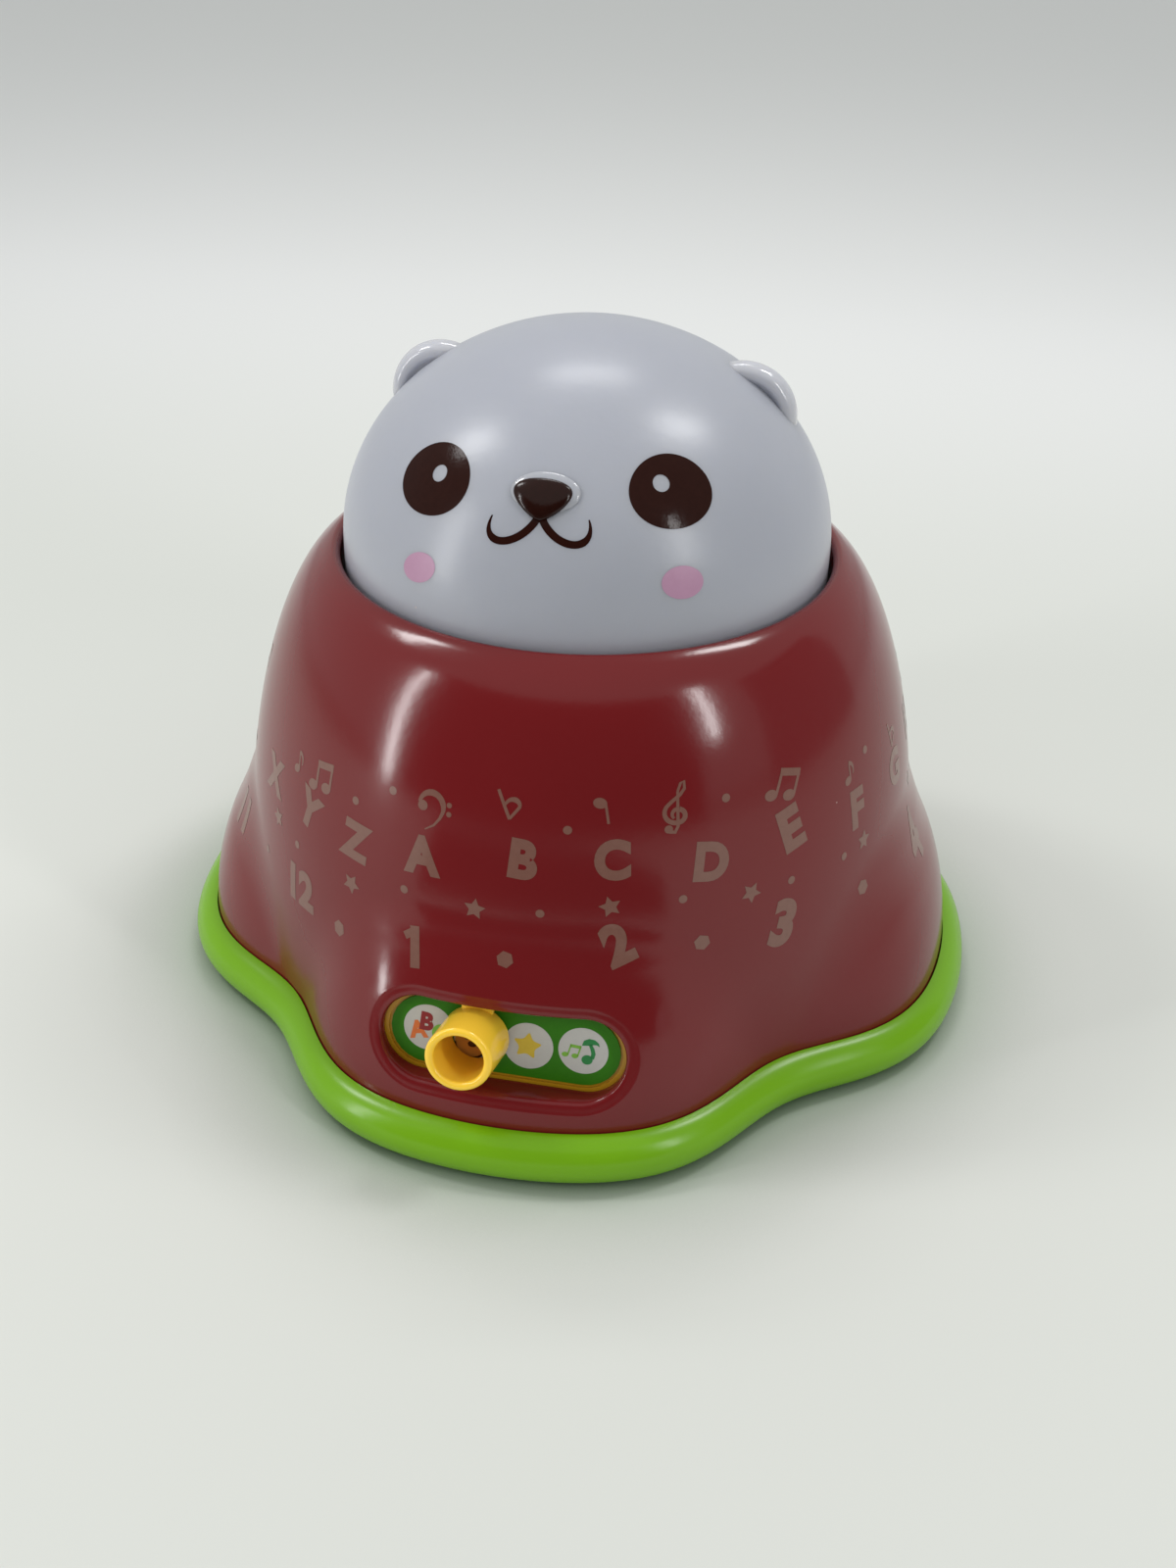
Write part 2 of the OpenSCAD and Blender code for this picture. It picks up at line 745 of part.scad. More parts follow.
// Pressed basket of the speaker: flange, sloping wall and back plate
module speaker_frame() {
  sheet = 0.8;
  mouth = speaker_r - flange_w;
  neck = magnet_r + 0.5;
  color(steel)
  translate([0, speaker_y, 0])
    rotate_extrude()
      polygon([
        [mouth, speaker_z], [speaker_r, speaker_z], [speaker_r, speaker_top], [mouth + sheet, speaker_top],
        [neck + sheet, basket_top], [0, basket_top], [0, basket_top - sheet], [neck, basket_top - sheet]
      ]);
}

// Paper cone with its dust cap, opening downward
module speaker_cone() {
  paper = 0.6;
  mouth = speaker_r - flange_w;
  neck = 0.3 * speaker_r;
  deep = basket_top - 2;
  edge = 0.8;
  color(black)
  translate([0, speaker_y, 0])
    rotate_extrude()
      polygon([
        [0, deep - 2.5 * paper], [neck, deep - paper], [mouth - 2 * edge, speaker_z], [mouth - 0.1, speaker_z],
        [mouth - edge, speaker_z + paper], [mouth - 1.6 * edge, speaker_z + paper], [neck, deep],
        [0, deep - 1.5 * paper]
      ]);
}

module speaker_magnet() {
  color(steel)
  translate([0, speaker_y, basket_top]) cylinder(h = 0.45 * speaker_h, r = magnet_r);
}

// Screws whose broad heads hold the speaker's flange down
module speaker_screws() {
  grip = 0.9;
  head_r = speaker_screw_circle - speaker_r + grip;
  color(steel)
  translate([0, speaker_y, speaker_top])
    around_axis(speaker_screw_angles, speaker_screw_circle)
      mirror([0, 0, 1]) screw(speaker_top - floor_raise - 1, screw_r, head_r, 1.2);
}

// One cell lying along X, with its raised contact at the end given by side
module cell(row, side) {
  nub_r = 2.6;
  nub_h = 1.2;
  color([0.20, 0.25, 0.35])
  translate([0, bay_front + cell_gap + cell_r + row * cell_pitch, cell_z])
    rotate([0, 90 * side, 0]) {
      translate([0, 0, -cell_len / 2]) cylinder(h = cell_len - nub_h, r = cell_r);
      translate([0, 0, cell_len / 2 - nub_h - eps]) cylinder(h = nub_h + eps, r = nub_r);
    }
}

function cell_side(row) = row % 2 == 0 ? 1 : -1;
module battery_front() { cell(0, cell_side(0)); }
module battery_middle() { cell(1, cell_side(1)); }
module battery_back() { cell(2, cell_side(2)); }

// Children placed at one end of each cell: the flat end or the raised end
module at_cell_ends(flat) {
  for (row = [0:cell_count - 1])
    translate([0, bay_front + cell_gap + cell_r + row * cell_pitch, cell_z])
      rotate([0, cell_side(row) * (flat ? -90 : 90), 0]) children();
}

// Cone springs that press on the cells' flat ends
module battery_springs() {
  wire = 0.4;
  gap = 0.05;
  color(steel)
  at_cell_ends(true)
    coil(0.36 * cell_r, 0.66 * cell_r, cell_len / 2 + wire + gap, bay_w / 2 - contact_t - wire - gap, 3, wire);
}

// Contact plates in the bay's end walls
module battery_plates() {
  plate = 10;
  dimple_r = 2.4;
  color(steel) {
    for (flat = [false, true])
      at_cell_ends(flat)
        translate([-plate / 2, -plate / 2, bay_w / 2 - contact_t]) cube([plate, plate, contact_t]);
    at_cell_ends(false)
      translate([0, 0, cell_len / 2 + 0.05]) cylinder(h = contact_room - contact_t, r = dimple_r);
  }
}

// The lid of the battery bay, with ribs under the cells and a tab for its screw
module battery_door() {
  grow = 2 * (door_edge - fit);
  color(lime)
  difference() {
    union() {
      bay_block(bay_w + grow, bay_d + grow, floor_raise, floor_raise + door_t);
      bay_block(bay_w - 6, cell_pitch - 3, floor_raise + 1, floor_raise + door_t + door_rib);
      translate([0, door_screw_y, floor_raise]) cylinder(h = door_t, r = door_tab_r);
      translate([-door_tab_r, door_screw_y, floor_raise])
        cube([2 * door_tab_r, bay_front - door_screw_y + 1, door_t]);
    }
    translate([0, door_screw_y, 0]) cylinder(h = floor_raise + door_t + 1, r = door_screw_r + thread_clear);
  }
}

module door_screw() {
  color(steel)
  translate([0, door_screw_y, floor_raise])
    screw(door_t + door_boss_h - 0.5, door_screw_r, door_head_r, door_head_h);
}

// The yellow plate behind the slot, with a raised border, board posts and two feet
module mode_plate() {
  color(yellow)
  difference() {
    union() {
      in_plate_frame() {
        translate([0, 0, -plate_t]) stadium_plate(plate_w, plate_h, plate_t);
        translate([0, 0, -eps]) difference() {
          stadium_plate(plate_w, plate_h, border_h + eps);
          translate([0, 0, -1])
            stadium_plate(plate_w - 2 * border_w, plate_h - 2 * border_w, border_h + 2);
        }
        for (side = [-1, 1])
          translate([side * switch_screw_x, switch_screw_y, -plate_t - switch_post_h])
            cylinder(h = switch_post_h + 1, r = switch_post_r);
      }
      for (side = [-1, 1]) plate_foot(side);
    }
    for (side = [-1, 1]) {
      translate([side * leg_x, foot_screw_y, foot_z - 1])
        cylinder(h = foot_t + 2, r = screw_r + hole_clear);
      in_plate_frame()
        translate([side * switch_screw_x, switch_screw_y, -plate_t - switch_post_h - 1])
          cylinder(h = switch_post_h + 2, r = small_screw_r + thread_clear);
    }
  }
}

// A leg under the plate with a flat foot that is screwed to the base
module plate_foot(side) {
  leg_front = plate_y + 0.6;
  leg_d = 4.4;
  translate([side * leg_x - leg_w / 2, leg_front, foot_z]) {
    cube([leg_w, leg_d, slot_z - 6 - foot_z]);
    cube([leg_w, foot_screw_y - leg_front, foot_t]);
  }
  translate([side * leg_x, foot_screw_y, foot_z]) cylinder(h = foot_t, r = leg_w / 2 + 0.4);
}

module mode_label() {
  color([0.20, 0.50, 0.14])
  in_plate_frame() stadium_plate(label_w, label_h, label_t);
}

module plate_screws() {
  color(steel)
  for (side = [-1, 1])
    translate([side * leg_x, foot_screw_y, foot_z + foot_t])
      mirror([0, 0, 1]) screw(foot_t + foot_z - floor_z - 1, screw_r, screw_head_r, screw_head_h);
}

// The board behind the mode plate
module switch_board() {
  color(board_green)
  in_plate_frame() difference() {
    translate([-switch_board_w / 2, switch_board_low, switch_board_z])
      cube([switch_board_w, switch_board_high - switch_board_low, board_t]);
    for (side = [-1, 1])
      translate([side * switch_screw_x, switch_screw_y, switch_board_z - 1])
        cylinder(h = board_t + 2, r = small_screw_r + hole_clear);
  }
}

// One contact for each mode and a common rail below them
module switch_pads() {
  pad_w = 6;
  pad_h = 3.2;
  pad_low = 0.5;
  rail_h = 2;
  rail_low = pad_low - 1.5 - rail_h;
  color(copper)
  in_plate_frame() translate([0, 0, switch_board_z - pad_t]) {
    for (m = modes) translate([m * mode_pitch - pad_w / 2, pad_low, 0]) cube([pad_w, pad_h, pad_t]);
    translate([-(modes[3] * mode_pitch + pad_w / 2), rail_low, 0])
      cube([2 * modes[3] * mode_pitch + pad_w, rail_h, pad_t]);
  }
}

module switch_screws() {
  color(steel)
  in_plate_frame()
    for (side = [-1, 1])
      translate([side * switch_screw_x, switch_screw_y, switch_board_z])
        screw(board_t + switch_post_h, small_screw_r, 2 * small_screw_r, small_screw_r);
}

// The yellow ring knob with the arm that saddles the mode plate's upper edge
module mode_knob() {
  bridge_low = plate_h / 2 + fit + 0.05;
  leg_z = wiper_z - arm_t;
  bore_narrow = 0.4;
  color(yellow)
  in_plate_frame() translate([knob_x, 0, 0]) {
    difference() {
      union() {
        translate([0, knob_up, knob_back])
          cylinder(h = knob_reach - knob_back, r1 = knob_r, r2 = knob_r - knob_taper);
        translate([-arm_w / 2, 0, knob_back]) cube([arm_w, arm_top, arm_t]);
      }
      translate([0, knob_up, knob_back - eps])
        cylinder(h = knob_reach - knob_back + 2 * eps, r1 = knob_bore_r - bore_narrow, r2 = knob_bore_r);
    }
    translate([-arm_w / 2, bridge_low, leg_z]) cube([arm_w, arm_top - bridge_low, knob_back + 1 - leg_z]);
    translate([-arm_w / 2, switch_board_low, leg_z]) cube([arm_w, arm_top - switch_board_low - 1, arm_t]);
  }
}

// Springy contact on the arm, facing the board's pads
module knob_wiper() {
  wiper_w = 4;
  color(copper)
  in_plate_frame()
    translate([knob_x - wiper_w / 2, -3, wiper_z]) cube([wiper_w, 6.5, wiper_t]);
}

base_tray();
body_shell();
head_dome();
head_carrier();
head_screws();
return_springs();
deck_plate();
base_screws();
light_board();
light_bulbs();
main_board();
board_parts();
board_screws();
hit_switch();
hit_button();
speaker_gasket();
speaker_frame();
speaker_cone();
speaker_magnet();
speaker_screws();
battery_front();
battery_middle();
battery_back();
battery_springs();
battery_plates();
battery_door();
door_screw();
mode_plate();
mode_label();
plate_screws();
switch_board();
switch_pads();
switch_screws();
mode_knob();
knob_wiper();
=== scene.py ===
# %% [markdown]
# # A toy with a sprung animal head
# The toy is a glossy red body with four lobes on a lime-green base. A milky head sits in its top and is
# struck from above, and a yellow ring slides along a slot in front. The CAD frame gives every solid its
# place. This file builds the visible skins smoothly round that frame, and adds the prints and the
# finishes.

# %% Load the frame
import json
import math

import bmesh
import bpy
from mathutils import Matrix, Vector


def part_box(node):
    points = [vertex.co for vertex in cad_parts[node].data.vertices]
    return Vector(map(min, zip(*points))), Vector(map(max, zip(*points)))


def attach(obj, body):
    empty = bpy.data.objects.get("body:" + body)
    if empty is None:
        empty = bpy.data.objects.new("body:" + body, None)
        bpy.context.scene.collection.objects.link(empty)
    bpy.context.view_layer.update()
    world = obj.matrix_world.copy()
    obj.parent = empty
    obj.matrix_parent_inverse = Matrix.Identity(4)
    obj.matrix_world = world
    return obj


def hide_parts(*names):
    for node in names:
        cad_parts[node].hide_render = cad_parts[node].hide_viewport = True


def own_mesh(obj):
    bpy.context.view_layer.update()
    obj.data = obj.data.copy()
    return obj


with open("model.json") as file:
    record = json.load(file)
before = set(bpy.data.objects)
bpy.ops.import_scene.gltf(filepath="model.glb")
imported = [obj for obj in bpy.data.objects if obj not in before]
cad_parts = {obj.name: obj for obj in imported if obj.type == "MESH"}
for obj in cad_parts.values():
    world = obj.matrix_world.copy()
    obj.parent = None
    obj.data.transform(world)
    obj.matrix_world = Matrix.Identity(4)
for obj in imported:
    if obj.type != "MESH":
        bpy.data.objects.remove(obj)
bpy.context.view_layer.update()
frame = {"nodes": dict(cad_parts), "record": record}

MM = 0.001

# %% [markdown]
# ## The camera
# The photograph was taken from a little to the right and above, close enough to show perspective. Its
# place was worked out from the outline of the rim, the lip and the head, so the render lines up with the
# photograph. The camera's three axes come from its angle round the toy, its height angle and its small
# roll.

# %% Place the camera
PHOTO_HEIGHT_PX = 1600
FOCAL_PX = 1745.3
CAMERA_TURN = math.radians(10.51)
CAMERA_HEIGHT = math.radians(31.74)
CAMERA_ROLL = math.radians(1.38)
CAMERA_PLACE = Vector((57.84, -304.6, 228.3)) * MM

back = Vector((
    math.sin(CAMERA_TURN) * math.cos(CAMERA_HEIGHT),
    -math.cos(CAMERA_TURN) * math.cos(CAMERA_HEIGHT),
    math.sin(CAMERA_HEIGHT),
))
level = Vector((math.cos(CAMERA_TURN), math.sin(CAMERA_TURN), 0))
right = Matrix.Rotation(CAMERA_ROLL, 3, back) @ level
up = back.cross(right)
lens = bpy.data.cameras.new("photo_camera")
lens.lens = FOCAL_PX / PHOTO_HEIGHT_PX * lens.sensor_width
lens.clip_start = 0.01
camera = bpy.data.objects.new("photo_camera", lens)
camera.matrix_world = Matrix.Translation(CAMERA_PLACE) @ Matrix((right, up, back)).transposed().to_4x4()
bpy.context.scene.collection.objects.link(camera)
bpy.context.scene.camera = camera
print("lens", round(lens.lens, 2), "mm")

# %% [markdown]
# ## Writing finishes as expressions
# A shader is a graph of nodes. Written out node by node it is hard to read, so one small class wraps an
# output socket and turns Python operators into Math nodes, and one method makes every other node.


# %% Shader helpers
class Link:
    """An output socket that can be used in Python expressions."""

    def __init__(self, finish, socket):
        self.finish = finish
        self.socket = socket

    def math(self, operation, other):
        return self.finish.node("ShaderNodeMath", {"operation": operation}, {0: self, 1: other})

    def __add__(self, other):
        return self.math("ADD", other)

    def __mul__(self, other):
        return self.math("MULTIPLY", other)

    def __lt__(self, other):
        return self.math("LESS_THAN", other)

    __radd__ = __add__
    __rmul__ = __mul__


class Finish:
    """A material that is being built."""

    def __init__(self, name):
        self.material = bpy.data.materials.new(name)
        self.material.use_nodes = True
        self.tree = self.material.node_tree
        self.tree.nodes.clear()

    def node(self, kind, settings=None, inputs=None, output=0):
        made = self.tree.nodes.new(kind)
        for key, value in (settings or {}).items():
            setattr(made, key, value)
        for key, value in (inputs or {}).items():
            if isinstance(value, Link):
                self.tree.links.new(value.socket, made.inputs[key])
            else:
                made.inputs[key].default_value = value
        return Link(self, made.outputs[output])

    def mix(self, share, first, second):
        return self.node("ShaderNodeMix", {"data_type": "RGBA"}, {0: share, 6: first, 7: second}, 2)

    def noise(self, scale, detail=2.0):
        place = self.node("ShaderNodeTexCoord", output="Object")
        return self.node("ShaderNodeTexNoise", None, {"Vector": place, "Scale": scale, "Detail": detail})

    def specks(self, scale, size, kept):
        """A mask of small round specks: one cell in a few holds a speck at its middle."""
        place = self.node("ShaderNodeTexCoord", output="Object")
        inputs = {"Vector": place, "Scale": scale}
        near = self.node("ShaderNodeTexVoronoi", None, inputs, "Distance")
        draw = self.node("ShaderNodeTexVoronoi", None, inputs, "Color")
        pick = self.node("ShaderNodeSeparateColor", None, {"Color": draw}, "Red")
        return (near < size) * (pick < kept)

    def ramp(self, axis, start, end):
        """A soft step from 0 to 1 along an axis, between two places in metres."""
        place = self.node("ShaderNodeTexCoord", output="Object")
        along = self.node("ShaderNodeSeparateXYZ", None, {"Vector": place}, axis)
        inputs = {"Value": along, "From Min": start, "From Max": end}
        return self.node("ShaderNodeMapRange", {"interpolation_type": "SMOOTHSTEP"}, inputs)

    def skin(self, scale, strength, depth):
        """Fine bumps, with their depth in metres."""
        inputs = {"Strength": strength, "Distance": depth, "Height": self.noise(scale)}
        return self.node("ShaderNodeBump", None, inputs)

    def surface(self, inputs):
        shader = self.node("ShaderNodeBsdfPrincipled", None, inputs)
        output = self.tree.nodes.new("ShaderNodeOutputMaterial")
        self.tree.links.new(shader.socket, output.inputs["Surface"])
        return self.material


def colour(red, green, blue):
    """A colour as a screen shows it, from 0 to 255, in the renderer's own scale: the sRGB curve."""
    shares = [c / 255 for c in (red, green, blue)]
    return (*[((s + 0.055) / 1.055) ** 2.4 if s > 0.04045 else s / 12.92 for s in shares], 1.0)


print("a middle grey:", [round(c, 3) for c in colour(128, 128, 128)])

# %% [markdown]
# ## The plastics
# All the large pieces are injection moulded. Glossy mouldings are never quite even: the colour drifts a
# little, the gloss is rubbed here and there, the skin has a faint orange-peel, and dust settles on it. A
# picture of each could be wrapped round the pieces, but noise needs no seams, so each plastic gets these
# four from noise at its own scale. The head's plastics also let light soak in.

# %% Plastic finishes
DUST = colour(196, 180, 172)
DUST_SCALE = 130.0
DUST_SIZE = 0.028
DUST_SHOW = 0.7
DRIFT_SCALE = 16.0
RUB_SCALE = 45.0
PEEL_SCALE = 650.0
PEEL_DEPTH = 0.0004
COAT_ROUGH = 0.06


def plastic(name, main, second, rough, rubbed=0.05, peel=0.03, dust=0.0, coat=0.0, extra=None):
    f = Finish(name)
    tone = f.mix(f.noise(DRIFT_SCALE, 3.0), main, second)
    if dust > 0:
        tone = f.mix(f.specks(DUST_SCALE, DUST_SIZE, dust) * DUST_SHOW, tone, DUST)
    inputs = {
        "Base Color": tone,
        "Roughness": f.noise(RUB_SCALE, 4.0) * rubbed + (rough - rubbed / 2),
        "Normal": f.skin(PEEL_SCALE, peel, PEEL_DEPTH),
        "Coat Weight": coat,
        "Coat Roughness": COAT_ROUGH,
    }
    inputs.update(extra or {})
    return f.surface(inputs)


red_shine = {"Specular IOR Level": 0.45}
red_plastic = plastic(
    "red_plastic", colour(113, 25, 28), colour(104, 21, 24), 0.16, dust=0.16, extra=red_shine
)
lime_shine = {"Specular IOR Level": 0.38}
lime_plastic = plastic(
    "lime_plastic", colour(116, 170, 9), colour(108, 163, 6), 0.26, dust=0.05, extra=lime_shine
)
yellow_plastic = plastic("yellow_plastic", colour(255, 212, 66), colour(255, 202, 54), 0.17, coat=0.25)
# The mode plate is the knob's yellow painted darker: painted shade for the slot's recess
shaded_plate_plastic = plastic("shaded_plate_plastic", colour(186, 138, 26), colour(172, 126, 20), 0.3)
white_plastic = plastic("white_plastic", colour(214, 214, 210), colour(204, 204, 202), 0.45)
black_plastic = plastic("black_plastic", colour(26, 26, 28), colour(36, 36, 38), 0.5)
milk_glow = {
    "Subsurface Weight": 0.35,
    "Subsurface Radius": (0.006, 0.0065, 0.008),
    "Subsurface Scale": 1.0,
    "IOR": 1.48,
}
milk_plastic = plastic(
    "milk_plastic", colour(167, 169, 178), colour(161, 163, 174), 0.30, peel=0.05, dust=0.05,
    extra=milk_glow,
)
# The ears' plastic is the head's, painted lighter: painted light for their bright reflections
lit_ear_plastic = plastic(
    "lit_ear_plastic", colour(188, 188, 194), colour(182, 182, 189), 0.12, peel=0.05, coat=0.5,
    extra=milk_glow,
)
pad_plastic = plastic(
    "pad_plastic", colour(171, 173, 182), colour(165, 167, 178), 0.14, peel=0.05, coat=0.3,
    extra=milk_glow,
)
print("plastics:", sum(m.name.endswith("_plastic") for m in bpy.data.materials))

# %% [markdown]
# ## Inks, film and small hardware
# The prints are thin ink. The ink on the body is a greyish tan that lets the red through a little, so its
# colour is mottled. The ink of the eyes is smooth, with small sharp glints. The metal and board finishes
# are for the hidden hardware, which keeps its CAD shapes.

# %% Other finishes
INK_MOTTLE = 900.0
INK_RUB_SCALE = 120.0
INK_RUBBED = 0.08
INK_GRAIN = 1500.0
METAL_MOTTLE = 240.0
METAL_RUB_SCALE = 500.0
METAL_RUBBED = 0.2


def ink(name, main, second, rough, coat=0.0, shine=0.5):
    f = Finish(name)
    return f.surface({
        "Base Color": f.mix(f.noise(INK_MOTTLE, 3.0), main, second),
        "Roughness": f.noise(INK_RUB_SCALE) * INK_RUBBED + (rough - INK_RUBBED / 2),
        "Normal": f.skin(INK_GRAIN, 0.05, 0.0003),
        "Coat Weight": coat,
        "Specular IOR Level": shine,
    })


def metal(name, main, second, rough):
    f = Finish(name)
    return f.surface({
        "Base Color": f.mix(f.noise(METAL_MOTTLE, 4.0), main, second),
        "Roughness": f.noise(METAL_RUB_SCALE) * METAL_RUBBED + (rough - METAL_RUBBED / 2),
        "Metallic": 1.0,
    })


body_ink = ink("body_ink", colour(124, 86, 75), colour(113, 76, 66), 0.18, shine=0.55)
eye_ink = ink("eye_ink", colour(36, 14, 10), colour(44, 20, 15), 0.13, shine=0.1)
nose_gloss = ink("nose_gloss", colour(30, 11, 7), colour(38, 15, 10), 0.16, shine=0.25)
cheek_ink = ink("cheek_ink", colour(178, 135, 163), colour(172, 127, 155), 0.34)
label_film = ink("label_film", colour(52, 118, 14), colour(45, 110, 10), 0.45, shine=0.2)
white_ink = ink("white_ink", colour(188, 186, 182), colour(180, 178, 174), 0.35)
orange_ink = ink("orange_ink", colour(214, 112, 44), colour(204, 100, 38), 0.35)
dark_red_ink = ink("dark_red_ink", colour(140, 24, 26), colour(130, 20, 22), 0.35)
green_ink = ink("green_ink", colour(28, 128, 62), colour(24, 118, 54), 0.35)
leaf_ink = ink("leaf_ink", colour(120, 176, 52), colour(110, 166, 44), 0.35)
gold_ink = ink("gold_ink", colour(206, 178, 40), colour(196, 166, 34), 0.35)
tan_ink = ink("tan_ink", colour(206, 150, 78), colour(196, 140, 70), 0.35)
brown_ink = ink("brown_ink", colour(58, 30, 16), colour(66, 36, 20), 0.35)
board_finish = ink("board_finish", colour(26, 92, 58), colour(20, 80, 50), 0.4)
cell_finish = ink("cell_finish", colour(52, 66, 92), colour(44, 58, 84), 0.25, coat=0.3)
steel = metal("steel", colour(186, 186, 188), colour(160, 160, 164), 0.32)
magnet_metal = metal("magnet_metal", colour(78, 78, 80), colour(60, 60, 62), 0.5)
copper = metal("copper", colour(206, 144, 88), colour(188, 124, 70), 0.3)
rubber = ink("rubber", colour(24, 24, 24), colour(32, 32, 32), 0.8)
orange_plastic = plastic("orange_plastic", colour(220, 84, 40), colour(210, 76, 34), 0.35)

NODE_FINISH = {
    "lime_base": lime_plastic,
    "red_body": red_plastic,
    "milk_head": milk_plastic,
    "white_inner": white_plastic,
    "yellow_knob": yellow_plastic,
    "label": label_film,
    "steel": steel,
    "circuit_board": board_finish,
    "lamp": white_plastic,
    "black_parts": black_plastic,
    "orange_button": orange_plastic,
    "gasket": rubber,
    "magnet": magnet_metal,
    "cell": cell_finish,
    "contact": copper,
}


def dress(node, finish):
    """Gives a CAD node its finish."""
    materials = frame["nodes"][node].data.materials
    materials.clear()
    materials.append(finish)


for part in frame["record"]["subparts"]:
    dress(part["node"], NODE_FINISH[part["material_slot"]])
# The mode plate gets the darker yellow, as painted shade
dress("mode_plate", shaded_plate_plastic)

# %% [markdown]
# ## Working in millimetres
# Pieces are modelled in millimetres in a bmesh, and shrunk to metres when they become an object. Every
# piece rides on a body of the frame, so it moves with the right joint, and it may stand for a CAD node.


# %% Piece helpers
def to_mesh(bm, name):
    mesh = bpy.data.meshes.new(name)
    bm.to_mesh(mesh)
    bm.free()
    return mesh


def piece(name, bm, finish, body, replaced=(), sharp=40):
    """Turns a bmesh in millimetres into a smooth-shaded object that rides on a body."""
    bmesh.ops.scale(bm, vec=(MM, MM, MM), verts=bm.verts)
    mesh = to_mesh(bm, name)
    mesh.shade_smooth()
    mesh.set_sharp_from_angle(angle=math.radians(sharp))
    mesh.materials.append(finish)
    obj = bpy.data.objects.new(name, mesh)
    bpy.context.scene.collection.objects.link(obj)
    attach(obj, body)
    if replaced:
        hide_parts(*replaced)
    print(name, len(mesh.polygons), "faces")
    return obj


def close(bm):
    """Merges doubled points and turns the faces outwards."""
    bmesh.ops.remove_doubles(bm, verts=bm.verts, dist=1e-4)
    bmesh.ops.recalc_face_normals(bm, faces=bm.faces)


def add_to(target, bm):
    """Moves a bmesh into another one."""
    mesh = to_mesh(bm, "moved")
    target.from_mesh(mesh)
    bpy.data.meshes.remove(mesh)


def box_mm(node):
    low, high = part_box(node)
    return Vector(low) / MM, Vector(high) / MM


def node_copy(node):
    """A copy of a CAD solid's mesh in millimetres, with its loose triangles merged."""
    bm = bmesh.new()
    bm.from_mesh(frame["nodes"][node].data)
    bmesh.ops.scale(bm, vec=(1 / MM, 1 / MM, 1 / MM), verts=bm.verts)
    bmesh.ops.remove_doubles(bm, verts=bm.verts, dist=1e-3)
    return bm


print("CAD nodes:", len(frame["nodes"]))

# %% [markdown]
# ## Outlines
# Most pieces of the toy are round or nearly so. They could be sculpted or built face by face, but a
# section of a few points that is spun round the axis is easier to read and to change. Round stretches of
# a section are arcs.


# %% Outlines
def revolve(profile, steps):
    """A closed outline of (radius, height) points spun round the Z axis."""
    bm = bmesh.new()
    verts = [bm.verts.new((r, 0, z)) for r, z in profile]
    pairs = [(verts[i - 1], verts[i]) for i in range(len(verts))]
    edges = [bm.edges.new(pair) for pair in pairs if pair[0].co.x > 0 or pair[1].co.x > 0]
    turned = {"cent": (0, 0, 0), "axis": (0, 0, 1), "angle": math.tau}
    bmesh.ops.spin(bm, geom=verts + edges, steps=steps, use_merge=True, **turned)
    close(bm)
    return bm


def even_steps(start, end, count):
    return [start + (end - start) * i / count for i in range(count + 1)]


def arc(middle, radius, start, end, steps):
    """Points of an arc in degrees; radius may be a pair for an ellipse."""
    rx, ry = radius if isinstance(radius, tuple) else (radius, radius)
    turns = [math.radians(t) for t in even_steps(start, end, steps)]
    return [(middle[0] + rx * math.cos(t), middle[1] + ry * math.sin(t)) for t in turns]


print("a half circle in 4 steps has", len(arc((0, 0), 1, 0, 180, 4)), "points")

# %% [markdown]
# ## The shape of the body
# The body is a cone with a rounded shoulder. Four lobes swell out of it near the foot and fade into soft
# creases. It could be sculpted, but then nothing else would know where its surface is. One formula gives
# the radius for any angle and height instead. The same formula shapes the wall, seats the slot and lays
# the prints on the surface, so they always fit together.

# %% Body formula
shell_low, shell_high = box_mm("body_shell")
LOBES = 4
LOBE_R = shell_high.x
NOTCH_DEPTH = 10.0
LOBE_TOP = 41.0
LOBE_FOOT = 9.0
LOBE_WIDTH = 2.85
LOBE_BLEND = 0.6
BODY_TOP = shell_high.z
LEDGE_Z = shell_low.z
CONE_H = 63.0
CONE_POWER = 1.72
SHOULDER_POWER = 0.55
HEAD_R = 47.2
HEAD_GAP = 0.8
LIP_R = HEAD_R + HEAD_GAP
BODY_WALL = 2.2


def lobe_share(a):
    return 1 - ((1 - math.cos(LOBES * a)) / 2) ** LOBE_WIDTH


def cone_r(z):
    t = min(1.0, max(0.0, (BODY_TOP - z) / CONE_H))
    widest = LOBE_R - NOTCH_DEPTH
    return LIP_R + (widest - LIP_R) * (1 - (1 - t) ** CONE_POWER) ** SHOULDER_POWER


def swell(a, z):
    s = max(0.0, (z - LOBE_FOOT) / (LOBE_TOP - LOBE_FOOT))
    left = lobe_share(a) - s * s
    blend = LOBE_BLEND * min(1.0, s)
    if abs(left) < blend:
        left = (left + blend) ** 2 / (4 * blend)
    return NOTCH_DEPTH * max(0.0, left)


def body_point(turn, z):
    """A point of the body's outside; turn is in degrees from the front, to the right."""
    a = math.radians(turn) - math.pi / 2
    r = cone_r(z) + swell(a, z)
    return Vector((r * math.cos(a), r * math.sin(a), z))


def body_normal(turn, z):
    step = 0.2
    along = body_point(turn + step, z) - body_point(turn - step, z)
    rise = body_point(turn, z + step) - body_point(turn, z - step)
    return along.cross(rise).normalized()


print("radius at the front foot:", round(body_point(0, LEDGE_Z).length, 1))

# %% [markdown]
# ## The slot's frame
# The mode plate leans back in the front lobe. Its own frame has x along the slot, y up the plate and z
# outwards. To put a ring of points on the body's surface round the slot, each point steps outwards until
# it meets the formula above. A skin through such rings is made by extruding the first one again and
# again.

# %% Slot frame and outline
SLOT_W = 45.5
SLOT_H = 15.8
SLOT_BEVEL = 2.7
SLOT_Z = 23.4
SLOT_SINK = 9.5
SLOT_LEAN = math.radians(12)
PLATE_Y = SLOT_SINK - LOBE_R
SIDE_STEPS = 36


